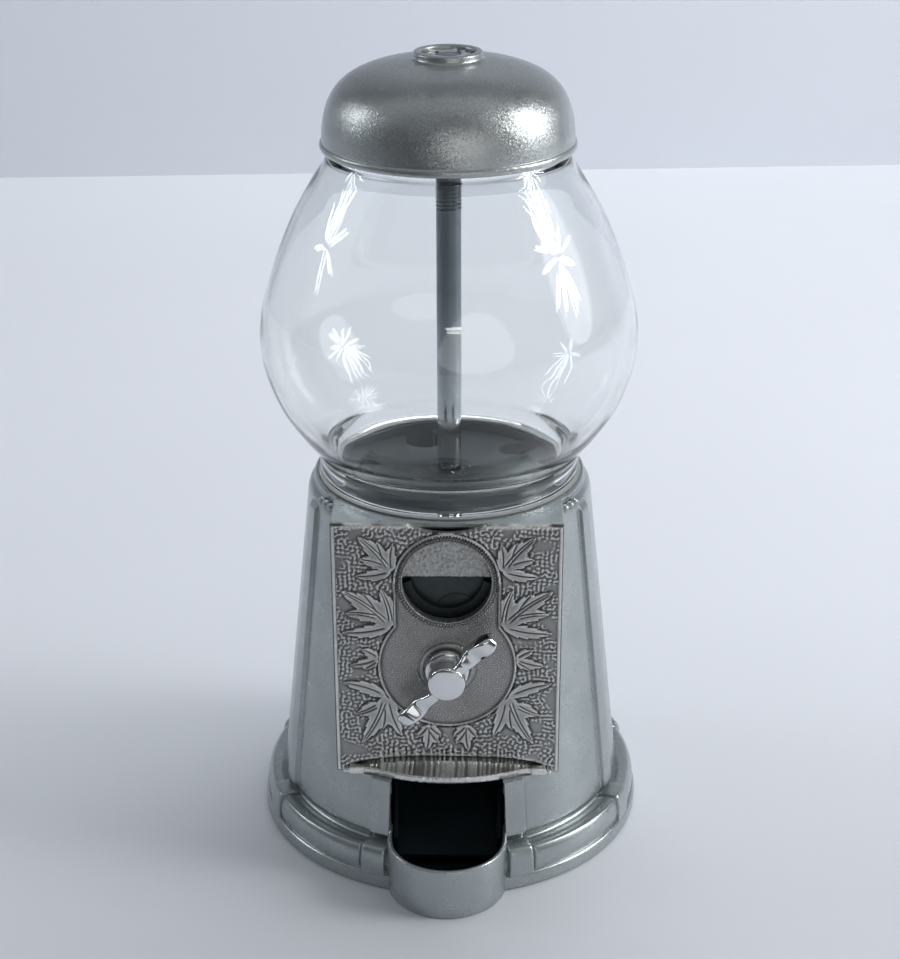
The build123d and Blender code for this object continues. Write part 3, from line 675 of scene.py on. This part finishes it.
# leaves: base, tip, half width
lobes_left = [
    ((-18.6, 116.6), (-29.8, 129.3), 2.7), ((-18.6, 116.6), (-18.0, 127.0), 1.9), ((-18.6, 116.6), (-31.0, 114.6), 1.9), ((-20.6, 118.6), (-29.4, 121.0), 2.0), ((-21.5, 119.5), (-23.6, 127.6), 1.7),
    ((-18.8, 95.8), (-35.8, 109.2), 3.1), ((-18.8, 95.8), (-22.4, 110.2), 2.4), ((-18.8, 95.8), (-36.0, 93.2), 2.1), ((-22.5, 99.0), (-34.6, 100.6), 2.3), ((-23.0, 99.4), (-28.6, 108.4), 2.1),
    ((-23.4, 83.2), (-33.4, 80.6), 1.7), ((-23.4, 83.6), (-29.6, 87.0), 1.5), ((-23.6, 82.6), (-28.8, 79.2), 1.1),
    ((-21.0, 68.8), (-36.0, 73.9), 2.1), ((-21.0, 68.8), (-29.9, 49.6), 2.7), ((-20.2, 67.8), (-15.6, 52.6), 2.2), ((-23.4, 65.4), (-31.6, 61.4), 2.4), ((-21.6, 65.0), (-22.4, 55.2), 2.0),
    ((-6.6, 57.6), (-7.4, 46.6), 1.9), ((-6.6, 57.0), (-10.6, 52.2), 1.5), ((-6.4, 57.0), (-2.0, 52.8), 1.7), ((-6.6, 55.6), (-2.6, 49.6), 1.5),
]
lobes = lobes_left + [((-a[0], a[1]), (-b[0], b[1]), w) for a, b, w in lobes_left]
leaf_d = np.full(X.shape, -9.0)
groove = np.zeros(X.shape)
rib = np.zeros(X.shape)
for i, (a, b, w) in enumerate(lobes):
    a, b = np.array(a), np.array(b)
    L = np.linalg.norm(b - a)
    u = (b - a) / L
    bend = 0.05 * L * (1 if (b[0] - a[0]) * (b[1] - a[1]) > 0 else -1)
    t = ((X - a[0]) * u[0] + (Z - a[1]) * u[1]) / L
    s = (X - a[0]) * -u[1] + (Z - a[1]) * u[0]
    tc = np.clip(t, 0, 1)
    s = s - bend * np.sin(np.pi * tc)
    hw = 1.18 * w * np.sin(np.pi * tc ** 0.70) ** 0.8
    teeth = max(2, int(round(L / 3.6)))
    ph = (tc * teeth + (0.35 if i % 2 else 0.0) + np.where(s > 0, 0.3, 0.0)) % 1.0
    hw = hw + 0.62 * (ph - 0.45) * sstep(0.12, 0.3, tc) * (1 - sstep(0.8, 0.97, tc))
    d = np.where((t >= 0) & (t <= 1), hw - np.abs(s), -9.0)
    leaf_d = np.maximum(leaf_d, d)
    on = (t > -0.04) & (t < 0.93)
    on = on * (hw > 0.55) * sstep(0.10, 0.2, t)
    if w > 2.2:
        g = np.exp(-((np.abs(s) - 0.62 * (1 - 0.5 * tc)) / 0.19) ** 2) * on
        rb = np.exp(-(s / 0.28) ** 2) * on
    else:
        g = 0.9 * np.exp(-(s / 0.22) ** 2) * on
        rb = 0 * g
    groove = np.maximum(groove, g)
    rib = np.maximum(rib, rb)
leaf = sstep(0.0, 0.34, leaf_d)
leaf_edge = np.exp(-((leaf_d - 0.34) / 0.24) ** 2)
moat = np.exp(-((leaf_d + 0.28) / 0.28) ** 2)

outside = sstep(0.1, 0.5, d_key)
h = -0.52 + 0.62 * maze_h * sstep(0.2, 0.6, 37.6 - np.abs(X))
h = h - 0.16 * moat
h = np.where(leaf_d > -0.05, np.maximum(h * 0 - 0.6, -0.42 + leaf * 0.74 + 0.12 * leaf_edge - 0.44 * groove * leaf + 0.20 * rib * leaf), h)
peb = band_noise(X.shape, STEP, 0.85, 0.3, 0.0, 14)
h = h * outside + (1 - outside) * (-0.10 + 0.045 * peb)
h = np.maximum(h, -0.1 + 0.58 * np.exp(-(d_key / 0.30) ** 2))
h = np.where(np.abs(d_key - 0.75) < 0.35, h - 0.14 * (1 - leaf), h)
# light strips down both sides, edges of the plate rounded off
strip = sstep(37.2, 37.5, np.abs(X))
h = h * (1 - strip) + strip * 0.10
top = sstep(132.4, 132.7, Z)
h = h * (1 - top) + top * 0.05
edge = np.minimum(W2 - np.abs(X), np.minimum(Z1 - Z, Z - Z0))
h = h - 0.55 * (1 - sstep(0.0, 0.6, edge))
# recess above the lip, with upright streaks in its wall
arc_z = 41.0 + 3.6 * (1 - (np.abs(X) / 34.5) ** 3.2)
rec = sstep(0.35, -0.35, Z - arc_z) * (np.abs(X) < 34.5)
streak = band_noise((nx, 8), STEP, 1.5, 0.5, 0.0, 51)[:, :1]
h = h * (1 - rec) + rec * (-0.95 + 0.16 * streak * sstep(30, 24, np.abs(X)))
h = h + 0.14 * streak * (1 - rec) * sstep(28, 20, np.abs(X)) * sstep(49.5, 46, Z)

V = np.stack([X, -50.0 - h, Z], -1).reshape(-1, 3)
F = quads(nx, nz)
ring = [i * nz for i in range(nx)] + [(nx - 1) * nz + j for j in range(1, nz)] + [i * nz + nz - 1 for i in range(nx - 2, -1, -1)] + [j for j in range(nz - 2, 0, -1)]
nb = len(V)
back = V[ring].copy()
back[:, 1] = -47.0
V = np.vstack([V, back])
m = len(ring)
F += [[ring[i], ring[(i + 1) % m], nb + (i + 1) % m, nb + i] for i in range(m)]
F.append([nb + i for i in range(m)])
plate = obj("front_panel", V, F, 60)
V, F = lathe_data([(0, 40), (15.2, 40), (15.2, 60), (0, 60)], 160)
boolean(plate, obj("cutter", y_axis(V, 0, 112.5), F), "DIFFERENCE")
V, F = lathe_data([(0, 40), (4.05, 40), (4.05, 60), (0, 60)], 64)
boolean(plate, obj("cutter", y_axis(V, 0, 80), F), "DIFFERENCE")
nr = (13.5 ** 2 + 3.2 ** 2) / 6.4
V, F = lathe_data([(0, 40), (nr, 40), (nr, 60), (0, 60)], 400)
boolean(plate, obj("cutter", y_axis(V, 0, 133.3 - 3.2 + nr), F), "DIFFERENCE")
smooth(plate, 75)

extra = []
# rim of the window
extra.append(lathe_y("rim", fillet([(15.0, 47.0), (15.62, 47.0), (15.62, 50.2), (15.45, 50.45), (15.15, 50.45), (15.0, 50.3)], 0.1, 3, True), 0, 112.5, 180))
# raised ring round the handle and the step outside it
extra.append(lathe_y("ring", fillet([(7.95, 49.0), (9.6, 49.0), (9.5, 50.5), (9.1, 50.8), (8.3, 50.8), (7.95, 50.5)], 0.25, 4, True), 0, 80, 120))
extra.append(lathe_y("ring2", fillet([(9.9, 49.0), (10.9, 49.0), (10.7, 50.15), (10.1, 50.15)], 0.15, 3, True), 0, 80, 120))
# posts at the back, hollow for the screws
for px_, pz_ in [(-33, 45.5), (33, 45.5), (-33, 126), (33, 126)]:
    extra.append(lathe_y("post", fillet([(1.35, 42.2), (2.6, 42.2), (2.9, 47.3), (1.35, 47.3)], 0.15, 3, True), px_, pz_, 40))
# two rows of beads round the window
bm = bmesh.new()
for row, (rr, n_, br) in enumerate([(16.16, 96, 0.42), (16.98, 100, 0.38)]):
    for k in range(n_):
        t = TAU * (k + 0.5 * row) / n_
        x_, z_ = rr * math.cos(t), 112.45 + rr * math.sin(t)
        if z_ > 132.2:
            continue
        bmesh.ops.create_icosphere(bm, subdivisions=2, radius=br * MM, matrix=Matrix.Translation(Vector((x_, -50.2, z_)) * MM))
bme = bpy.data.meshes.new("beads")
bm.to_mesh(bme)
bm.free()
o = bpy.data.objects.new("beads", bme)
scene.collection.objects.link(o)
smooth(o, 60)
extra.append(o)

# lip and the scoop above it
xs = np.linspace(-36.2, 36.2, 362)


def lip_front(x):
    r = np.sqrt(np.maximum(58.3 ** 2 - x ** 2, 1.0))
    return np.maximum(r, 51.7) + 0.25 * np.exp(-((r - 51.7) / 0.5) ** 2)


rows = []
gl = np.random.default_rng(5)
rough = np.cumsum(gl.standard_normal(len(xs))) * 0.0
wob = band_noise((len(xs), 8), 0.2, 3.0, 0.6, 0.0, 61)[:, 0]
wob2 = band_noise((len(xs), 8), 0.2, 2.1, 0.5, 0.0, 62)[:, 0]
for i, x in enumerate(xs):
    end_in = 0.5 * (1 - float(sstep(0.0, 0.5, 36.2 - abs(x))))
    yl = float(lip_front(np.array(x))) + 0.05 * wob[i] - end_in
    zt = 41.0 - 0.75 * float(sstep(27.0, 33.0, abs(x))) + 0.05 * wob[(i * 7) % len(xs)] - end_in
    zf = zt - 0.95
    up = 2.7 * (1 - min(1.0, abs(x) / 33.5) ** 3)
    glint = 0.5 + 0.5 * math.tanh(1.4 * wob2[i])
    prof_i = [(48.0, 38.5), (48.0, zf + up + 0.2), (48.8, zf + up + 0.2)]
    for t in np.linspace(0.1, 1, 11):
        q = t * math.pi / 2
        bumpy = 0.34 * glint * math.sin(math.pi * t) * float(sstep(31, 25, abs(x)))
        prof_i.append((49.0 + (yl - 1.5 - 49.0) * (1 - math.cos(q)) + 0.5 * bumpy, zf + up * (1 - math.sin(q)) + bumpy))
    prof_i += [(yl - 1.25, zf + 0.35), (yl - 1.05, zt - 0.45), (yl - 0.85, zt - 0.1), (yl - 0.55, zt), (yl - 0.2, zt - 0.08), (yl - 0.03, zt - 0.35),
               (yl + 0.02, zt - 0.8), (yl, 39.3), (yl - 0.02, 38.95), (yl - 0.18, 38.62), (yl - 0.5, 38.5)]
    rows.append(prof_i)
rows = np.array(rows)
mm_ = rows.shape[1]
V = np.zeros((len(xs), mm_, 3))
V[:, :, 0] = xs[:, None]
V[:, :, 1] = -rows[:, :, 0]
V[:, :, 2] = rows[:, :, 1]
V[0, :, 0] += 0.0
F = quads(len(xs), mm_, False, True)
F.append(list(range(mm_))[::-1])
F.append([(len(xs) - 1) * mm_ + i for i in range(mm_)])
extra.append(obj("lip", V.reshape(-1, 3), F, 50))
for sx in (-1, 1):
    V, F = prism_data(fillet([(sx * 31.6 - 2.6, -52.35), (sx * 31.6 + 2.6, -52.35), (sx * 31.6 + 2.6, -49.5), (sx * 31.6 - 2.6, -49.5)], [0.5, 0.5, 0, 0], 5, True), round_levels(38.55, 41.35, 0.4, 0.5))
    extra.append(obj("tab", V, F, 50))
join(plate, extra)

# looks that follow the relief: height, and how far a point stands above what is near it
def blur(a, s):
    kx = np.fft.fftfreq(a.shape[0], STEP)[:, None]
    kz = np.fft.fftfreq(a.shape[1], STEP)[None, :]
    return np.real(np.fft.ifft2(np.fft.fft2(a) * np.exp(-2 * (np.pi * s) ** 2 * (kx ** 2 + kz ** 2))))


# painted shade: the recess above the lip is scaled down by a fifth for the shade in that undercut; the rest is patina,
# dark in the hollows and light on the highs
patina_and_shade = np.clip(0.5 + 2.6 * (h - blur(h, 0.7)), 0, 1) * (1 - 0.2 * rec)
hi = np.clip((h + 0.4) / 1.0, 0, 1)
inkey = 1 - sstep(-0.5, 0.1, d_key)
co = coords(plate)
ix = np.clip(np.round((co[:, 0] + W2) / (2 * W2) * (nx - 1)).astype(int), 0, nx - 1)
iz = np.clip(np.round((co[:, 2] - Z0) / (Z1 - Z0) * (nz - 1)).astype(int), 0, nz - 1)
lipy = lip_front(co[:, 0])
on_lip = ((co[:, 2] < 41.3) & (-co[:, 1] > 50.75)) | ((co[:, 2] < 43.2) & (-co[:, 1] > 49.2) & (np.abs(co[:, 0]) < 31) & (-co[:, 1] > 49.3))
face = (co[:, 1] < -48.2) & (co[:, 1] > -50.75) & ~on_lip
# painted shade and painted glints: the trough behind the lip's crest is set dark for its shade, with bright painted
# glints across its middle; the crest itself is set bright
painted_glint_x = np.interp(co[:, 0], xs, 0.5 + 0.5 * np.tanh(1.6 * wob2))
lip_shade_and_glint = np.where(-co[:, 1] > lipy - 1.0, 0.97, 0.42 + 0.5 * painted_glint_x * sstep(31, 24, np.abs(co[:, 0])))
attribute(plate, "patina_shade_glint", np.where(face, patina_and_shade[ix, iz], np.where(on_lip, lip_shade_and_glint, 0.55)))
attribute(plate, "relief", np.where(face, hi[ix, iz], 0.55))
attribute(plate, "pebble", np.where(face, inkey[ix, iz], 0.0))
dress(plate, "plate_nickel", "base", "front_plate")

# ------------------------------------------------------------------ coin guard behind the window, rough casting
n_, st = 120, 0.28
gx2, gz2 = np.arange(-16.6, 16.61, st), np.arange(112.6, 129.4, st)
A, B = np.meshgrid(gx2, gz2, indexing="ij")
rough_h = 0.16 * band_noise(A.shape, st, 2.2, 0.6, 0.0, 31) + 0.08 * band_noise(A.shape, st, 0.9, 0.4, 0.0, 32)
rough_h = np.clip(rough_h, -0.42, 0.34) - 0.35 * (1 - sstep(112.9, 113.5, B))
n1, n2 = A.shape
V = np.stack([A, -46.62 - rough_h, B], -1).reshape(-1, 3)
F = quads(n1, n2)
ring = [i * n2 for i in range(n1)] + [(n1 - 1) * n2 + j for j in range(1, n2)] + [i * n2 + n2 - 1 for i in range(n1 - 2, -1, -1)] + [j for j in range(n2 - 2, 0, -1)]
back = V[ring].copy()
back[:, 1] = -45.7
nb = len(V)
V = np.vstack([V, back])
m = len(ring)
F += [[ring[i], ring[(i + 1) % m], nb + (i + 1) % m, nb + i] for i in range(m)]
F.append([nb + i for i in range(m)])
guard = obj("coin_shield", V, F, 60)
arc = [(16.4 * math.cos(a), 16.4 * math.sin(a)) for a in np.linspace(math.asin(0.4 / 16.4), math.pi - math.asin(0.4 / 16.4), 90)]
V, F = prism_data(arc, [(44.0, 0), (48.0, 0)])
boolean(guard, obj("cutter", y_axis(V, 0, 112.5), F), "INTERSECT")
smooth(guard, 60)
dress(guard, "guard_cast", "base", "coin_guard")

# rounded stop on the frame behind the lower half of the window
arc = [(3.0 + 7.2 * math.cos(a), 97.4 + 7.2 * math.sin(a)) for a in np.linspace(0.02, math.pi - 0.02, 60)]
V, F = prism_data(arc, round_levels(42.21, 42.57, 0, 0.15, 3))
stop = obj("coin_stop", y_axis(V), F, 40)
dress(stop, "zinc", "base", material=M["frame_dark"])

# ------------------------------------------------------------------ handle
hub = lathe_y("thumb_turn", fillet([(0, 54.8), (5.9, 54.8), (6.25, 55.2), (6.3, 58.5), (6.3, 61.6), (5.9, 62.15), (3.0, 62.4), (0, 62.42)], [0, 0.3, 0.3, 1, 0.5, 0.5, 1.2, 0], 5), 0, 80, 128)
ang = math.radians(47)
c_, s_ = math.cos(ang), math.sin(ang)
for sg in (1, -1):
    ts = np.concatenate([np.linspace(2.0, 18.5, 40), 18.5 + 4.1 * np.sin(np.linspace(0.08, 1.0, 16) * math.pi / 2)])
    loops = []
    for t in ts:
        f = t / 22.6
        end = math.sqrt(max(0.0, 1 - ((t - 18.5) / 4.15) ** 2)) if t > 18.5 else 1.0
        hw_ = (2.1 + 1.05 * float(sstep(7.0, 13.5, t)) - 0.25 * float(sstep(16, 22, t))) * (0.3 + 0.7 * end)
        mid = 0.55 * math.sin(math.pi * min(1.0, f * 1.05)) - 0.3 * f
        front = 61.7 - 1.5 * math.exp(-((t - 13.2) / 3.2) ** 2) + 0.25 * f
        back_ = 54.95 + 1.4 * float(sstep(9, 20, t))
        front = back_ + (front - back_) * (0.55 + 0.45 * end)
        twist = math.radians(20) * (f - 0.30)
        lp = []
        for k in range(36):
            a = TAU * k / 36
            ca, sa = math.cos(a), math.sin(a)
            e = 0.34
            ss = hw_ * math.copysign(abs(ca) ** e, ca)
            yy = (front - back_) / 2 * math.copysign(abs(sa) ** e, sa)
            s2 = ss * math.cos(twist) - yy * math.sin(twist) * 0.7
            y2 = yy + ss * math.sin(twist) * 0.55
            u_, v_ = sg * t, mid * sg + s2 * sg
            lp.append((u_ * c_ - v_ * s_, -((front + back_) / 2 + y2), 80 + u_ * s_ + v_ * c_))
        loops.append(lp)
    V = np.array(loops)
    nl = V.shape[0]
    F = quads(nl, 36, False, True)
    F.append(list(range(36))[::-1])
    F.append([(nl - 1) * 36 + i for i in range(36)])
    boolean(hub, obj("wing", V.reshape(-1, 3), F), "UNION")
smooth(hub, 38)
dress(hub, "handle_chrome", "handle", "handle")
collar = lathe_y("turn_collar", fillet([(4.02, 50.35), (7.1, 50.35), (7.5, 50.75), (7.5, 53.0), (7.1, 53.5), (6.4, 53.6), (6.4, 54.5), (6.1, 54.75), (4.02, 54.75)], [0, 0.3, 0.3, 0.35, 0.3, 0.2, 0.2, 0.2, 0], 4, True), 0, 80, 128)
dress(collar, "handle_chrome", "handle", "handle_collar")

# ------------------------------------------------------------------ rod with its thread
def thread(T, R, Z):
    pitch = 1.6
    ph = (Z / pitch - T / TAU) % 1.0
    tri = 1 - np.abs(2 * ph - 1)
    tri = sstep(0.15, 0.85, tri)
    on = sstep(225.6, 226.6, Z) * (1 - sstep(276.6, 277.8, Z))
    return np.where((R > 3.9) & (on > 0), R + on * (4.42 - R) - on * 0.52 * (1 - tri), R), Z


prof = fillet([(0, 1.2), (3.65, 1.2), (4.25, 1.8), (4.25, 225.0)], [0, 0.2, 0.2, 0], 3)
prof = densify(prof, 8) + densify([(4.25, 225.2), (4.25, 231.5), (4.4, 232.0), (4.4, 277.5)], 0.2) + [np.array((3.85, 278.15)), np.array((3.6, 278.2)), np.array((0, 278.2))]
rod = lathe("centre_rod", prof, 64, warp=thread, angle=50)
dress(rod, "rod_chrome", "base", "rod")

# ------------------------------------------------------------------ hopper shield: pressed half disc with rounded edges
th = np.linspace(math.pi, TAU, 121)
outer = [(38.9 * math.cos(a), 38.9 * math.sin(a)) for a in th]
inner = [(6.1 * math.cos(a), 6.1 * math.sin(a)) for a in np.linspace(TAU, math.pi, 41)]
V, F = prism_data(outer + inner, round_levels(130.5, 131.6, 0.25, 0.35, 4))
shield = obj("hopper_shield", V, F, 40)
dress(shield, "hopper_dark", "base", "wheel_cover")

# ------------------------------------------------------------------ gasket, glass
gk = lathe("seat_gasket", fillet([(39.8, 133.32), (46.2, 133.32), (46.2, 134.07), (39.8, 134.07)], 0.25, 4, True), 180)
dress(gk, "gasket", "base", "globe_gasket")

outer = [(44.6, 134.1), (45.3, 134.8), (45.5, 136.2), (45.5, 137.6), (45.25, 139.6), (45.3, 141.0)]
out_s = catmull([(45.3, 141.0), (48.2, 145.6), (53.2, 152.0), (59.2, 161.6), (63.3, 173.0), (64.5, 183.0), (63.4, 194.0), (59.3, 208.0), (53.2, 223.0), (47.0, 234.5), (41.6, 243.0)], 10)
neck = [(40.0, 246.2), (39.4, 247.6), (39.4, 251.4), (38.9, 252.0), (36.9, 252.0), (36.4, 251.4), (36.4, 246.8)]
in_s = catmull([(36.6, 245.6), (39.6, 242.4), (45.0, 233.6), (51.2, 222.2), (57.3, 207.3), (61.4, 193.6), (62.4, 183.0), (61.3, 173.6), (57.3, 162.6), (51.3, 153.3), (45.8, 147.0), (42.6, 143.4)], 10)
foot = [(41.2, 141.2), (40.6, 138.6), (40.4, 134.8), (41.0, 134.1)]
gp = fillet(outer, 0.5, 3)[:-1] + out_s + fillet([out_s[-1]] + neck + [in_s[0]], [0, 1.2, 1.0, 0.4, 0.4, 0.4, 0.4, 0.8, 0], 4)[1:-1] + in_s + fillet([in_s[-1]] + foot + [outer[0]], [0, 1.0, 1.0, 0.5, 0.4, 0], 4)[1:-1]
glass = lathe("glass_bowl", gp, 256, angle=70)
dress(glass, "clear_glass", "globe", "glass_globe")

# ------------------------------------------------------------------ lid and its nut
lp = fillet([(40.2, 248.2), (41.6, 248.0), (42.2, 248.3), (42.5, 249.0), (42.45, 249.9), (42.1, 250.45), (41.75, 250.7), (41.8, 251.6)], 0.3, 3)
dome = catmull([(41.8, 251.6), (41.5, 255.5), (40.7, 259.8), (39.2, 264.0), (36.4, 268.2), (32.0, 271.7), (25.4, 274.5), (18.0, 276.0), (12.6, 276.6)], 8)
ringp = fillet([(12.6, 276.6), (11.7, 276.9), (11.3, 277.6), (11.3, 278.9), (10.9, 279.38), (9.3, 279.38), (8.9, 278.9), (8.9, 274.6), (4.55, 274.6), (4.55, 272.6), (16.0, 272.6)], [0, 0.6, 0.4, 0.35, 0.3, 0.3, 0.35, 0.3, 0.1, 0.1, 0], 4)
inn = catmull([(16.0, 272.6), (24.8, 271.9), (31.0, 269.6), (35.0, 266.2), (37.3, 262.2), (38.2, 258.0), (38.4, 255.4)], 6)
tail = fillet([(38.4, 255.4), (37.6, 254.2), (36.6, 252.2), (39.9, 252.2), (40.2, 251.6), (40.2, 248.2)], 0.15, 2)
lid = lathe("lid_dome", lp[:-1] + dome + ringp[1:-1] + inn + tail[1:-1], 300, angle=50)
dress(lid, "lid_paint", "lid", "lid")

th = np.linspace(0, TAU, 320, endpoint=False)
r_ = 6.95 + 1.05 * np.clip(np.cos(8 * th), -0.75, 1) ** 1
nut_o = [(r * math.cos(t), r * math.sin(t)) for r, t in zip(r_, th)]
V, F = prism_data(nut_o, round_levels(274.75, 278.45, 0.3, 0.8, 5))
nut = obj("lid_knob", V, F, 40)
V, F = lathe_data([(0, 270), (4.45, 270), (4.45, 277.9), (5.0, 278.5), (5.0, 282), (0, 282)], 80)
boolean(nut, obj("cutter", V, F), "DIFFERENCE")
smooth(nut, 40)
dress(nut, "handle_chrome", "lid_nut", "lid_nut")

# ------------------------------------------------------------------ the CAD nodes that stay get their finish
cad_slots = {
    "hopper_cup": "hopper_dark", "dispensing_wheel": "wheel_black", "hub_sleeve": "wheel_black", "chute_tray": "chute_black", "drop_tube": "chute_black",
    "bottom_cover": "zinc", "foot_washer": "steel", "foot_nut": "steel", "frame_plate": "zinc", "coin_guides": "zinc", "frame_screws": "steel",
    "rear_bracket": "zinc", "pawl_post": "steel", "pawl_spring": "steel", "shaft": "steel", "coin_carrier": "carrier_dark", "ratchet_wheel": "carrier_dark",
    "drive_pinion": "gear", "crown_gear": "gear", "shaft_clip": "steel", "pawl": "steel",
}
for name, node in frame["nodes"].items():
    slot = cad_slots.get(name) or slot_of.get(name) or "steel"
    if name == "frame_plate":
        slot = "frame_dark"
    node.data.materials.clear()
    node.data.materials.append(M.get(slot, M["steel"]))

# ------------------------------------------------------------------ floor, wall, light, camera
def stage_mat(name, lo, hi, rough):
    a = Mat(name)
    t = a.noise(0.004, 3, 0.5)
    c = a.ramp(t, [(0.3, lo), (0.7, hi)])
    return a.surface(c, rough, 0.0, a.bump(a.noise(0.25, 3), 0.05, 0.1))


floor = obj("floor", [(-4000, -4000, 0), (4000, -4000, 0), (4000, 4000, 0), (-4000, 4000, 0)], [[0, 1, 2, 3]])
fa = Mat("floor_painted_falloff")
fy = nd(fa.nt, "SeparateXYZ", None, {0: fa.P}).outputs["Y"]
# painted light: the floor runs from darker at the front to lighter at the back, standing in for the fall-off of the
# light
fcol = fa.ramp(fa.remap(fy, -1200, 1000, 0, 1), [(0.0, (0.42, 0.43, 0.455)), (0.30, (0.58, 0.60, 0.64)), (0.50, (0.64, 0.662, 0.71)), (0.62, (0.76, 0.785, 0.84)), (1.0, (0.88, 0.90, 0.94))])
fcol = fa.mix(fa.remap(fa.noise(0.004, 3, 0.5), 0.3, 0.7, 0.0, 0.06), fcol, (0.5, 0.5, 0.52))
floor.data.materials.append(fa.surface(fcol, 0.5, 0.0, fa.bump(fa.noise(0.25, 3), 0.05, 0.1)))
wall = obj("wall", [(-3000, 724, -5), (3000, 1106, -5), (3000, 1106, 3500), (-3000, 724, 3500)], [[0, 1, 2, 3]])
wa = Mat("wall_painted_shade")
wz = nd(wa.nt, "SeparateXYZ", None, {0: wa.P}).outputs["Z"]
# painted shade: the wall darkens upwards from 200 mm to 900 mm, standing in for a darker room above, seen mostly in
# reflections
wcol = wa.ramp(wa.remap(wz, 0, 1000, 0, 1), [(0.0, (0.80, 0.83, 0.90)), (0.2, (0.80, 0.83, 0.90)), (0.45, (0.45, 0.47, 0.52)), (0.9, (0.26, 0.275, 0.30))])
wcol = wa.mix(wa.remap(wa.noise(0.004, 3, 0.5), 0.3, 0.7, 0.0, 0.06), wcol, (0.5, 0.5, 0.52))
wall.data.materials.append(wa.surface(wcol, 0.7, 0.0, wa.bump(wa.noise(0.25, 3), 0.05, 0.1)))
card = obj("card", [(-700, -1300, 1.5), (20, -1300, 1.5), (60, -330, 1.5), (-700, -330, 1.5)], [[0, 1, 2, 3]])
card.data.materials.append(stage_mat("card_dark", (0.012, 0.014, 0.018), (0.02, 0.022, 0.026), 0.9))
card.visible_camera = card.visible_diffuse = card.visible_transmission = card.visible_shadow = False


def area(name, loc, target, size, energy, color=(1, 1, 1)):
    l = bpy.data.lights.new(name, "AREA")
    l.shape, l.size, l.size_y, l.energy, l.color = "RECTANGLE", size[0], size[1], energy, color
    o = bpy.data.objects.new(name, l)
    scene.collection.objects.link(o)
    o.location = Vector(loc)
    o.rotation_euler = (Vector(target) - Vector(loc)).to_track_quat("-Z", "Y").to_euler()
    return o


def fan(name, loc, target, width, rays, energy, color):
    """Narrow soft strips fanned about one centre; rays are (angle, start, length)."""
    base = (Vector(target) - Vector(loc)).to_track_quat("-Z", "Y").to_matrix().to_4x4()
    total = sum(r[2] for r in rays)
    for k, (deg, start, length) in enumerate(rays):
        l = bpy.data.lights.new(f"{name}_{k}", "AREA")
        l.shape, l.size, l.size_y, l.energy, l.color = "ELLIPSE", width, length, energy * length / total, color
        o = bpy.data.objects.new(f"{name}_{k}", l)
        scene.collection.objects.link(o)
        o.matrix_world = Matrix.Translation(Vector(loc)) @ base @ Matrix.Rotation(math.radians(deg), 4, "Z") @ Matrix.Translation(Vector((0, start + length / 2, -0.002 * k)))


area("overhead", (0.25, 0.6, 1.35), (0.05, 0.35, 0), (1.4, 1.0), 13.2, (0.975, 0.99, 1.0)).visible_glossy = False
fan("key_right", (1.28, -0.12, 0.66), (0, 0, 0.17), 0.032, [(-168, 0.05, 0.26), (-149, 0.12, 0.20), (-117, 0.03, 0.26), (-88, 0.10, 0.30), (-61, 0.03, 0.26), (-36, 0.14, 0.30), (-17, 0.03, 0.42), (-3, 0.16, 0.30), (9, 0.04, 0.46), (24, 0.14, 0.38), (33, 0.03, 0.24), (52, 0.14, 0.26), (83, 0.04, 0.30), (121, 0.10, 0.24), (152, 0.03, 0.24)], 7.6, (1.0, 0.995, 0.985))
fan("fill_left", (-1.26, 0.16, 0.60), (0, 0, 0.17), 0.026, [(-150, 0.03, 0.2), (-100, 0.04, 0.24), (-44, 0.03, 0.30), (-8, 0.05, 0.40), (12, 0.10, 0.34), (31, 0.03, 0.30), (66, 0.05, 0.24), (118, 0.04, 0.2)], 2.0, (0.93, 0.97, 1.0))
soft = area("window_right", (1.36, -0.05, 0.62), (0, 0, 0.17), (0.75, 0.95), 3.0, (0.98, 0.99, 1.0))
soft.data.shape = "ELLIPSE"
area("front_bar", (0.10, -1.5, 0.66), (0, 0, 0.15), (0.26, 0.022), 0.22)
soft = area("front_soft", (0.42, -1.35, 0.42), (0, 0, 0.12), (1.2, 0.6), 1.7, (1.0, 0.995, 0.985))
soft.data.shape = "ELLIPSE"

world = bpy.data.worlds.new("room")
scene.world = world
world.use_nodes = True
wn = world.node_tree
wn.nodes.clear()
tc = nd(wn, "TexCoord")
sp = nd(wn, "SeparateXYZ", None, {0: tc.outputs["Generated"]})
up = nd(wn, "MapRange", None, {"Value": sp.outputs["Z"], "From Min": -0.1, "From Max": 0.9, "To Min": 0.0, "To Max": 1.0})
fr = nd(wn, "MapRange", None, {"Value": sp.outputs["Y"], "From Min": -0.8, "From Max": 0.6, "To Min": 0.40, "To Max": 1.0})
rp = nd(wn, "ValToRGB", None, {"Fac": up.outputs[0]})
rp.color_ramp.elements[0].color = (0.10, 0.11, 0.12, 1)
rp.color_ramp.elements[1].color = (0.52, 0.545, 0.58, 1)
mu = nd(wn, "VectorMath", {"operation": "SCALE"}, {0: rp.outputs[0], "Scale": fr.outputs[0]})
bg = nd(wn, "Background", None, {"Color": mu.outputs[0], "Strength": 0.9})
wo = nd(wn, "OutputWorld", None, {0: bg.outputs[0]})

cam = bpy.data.cameras.new("view")
cam.sensor_width, cam.lens = 36.0, 1900 / 959 * 36.0
co_ = bpy.data.objects.new("view", cam)
scene.collection.objects.link(co_)
az, D, Hc, pitch, pan, roll = 0.0203679, 616.1547, 400.8792, 0.4169532, -0.000263, 0.0032677
co_.matrix_world = Matrix.Translation(Vector((D * math.sin(az), -D * math.cos(az), Hc)) * MM) @ Matrix.Rotation(az + pan, 4, "Z") @ Matrix.Rotation(math.pi / 2 - pitch, 4, "X") @ Matrix.Rotation(-roll, 4, "Z")
cam.clip_start, cam.clip_end = 0.02, 50
scene.camera = co_
scene.view_settings.view_transform = "Standard"
scene.view_settings.look = "None"
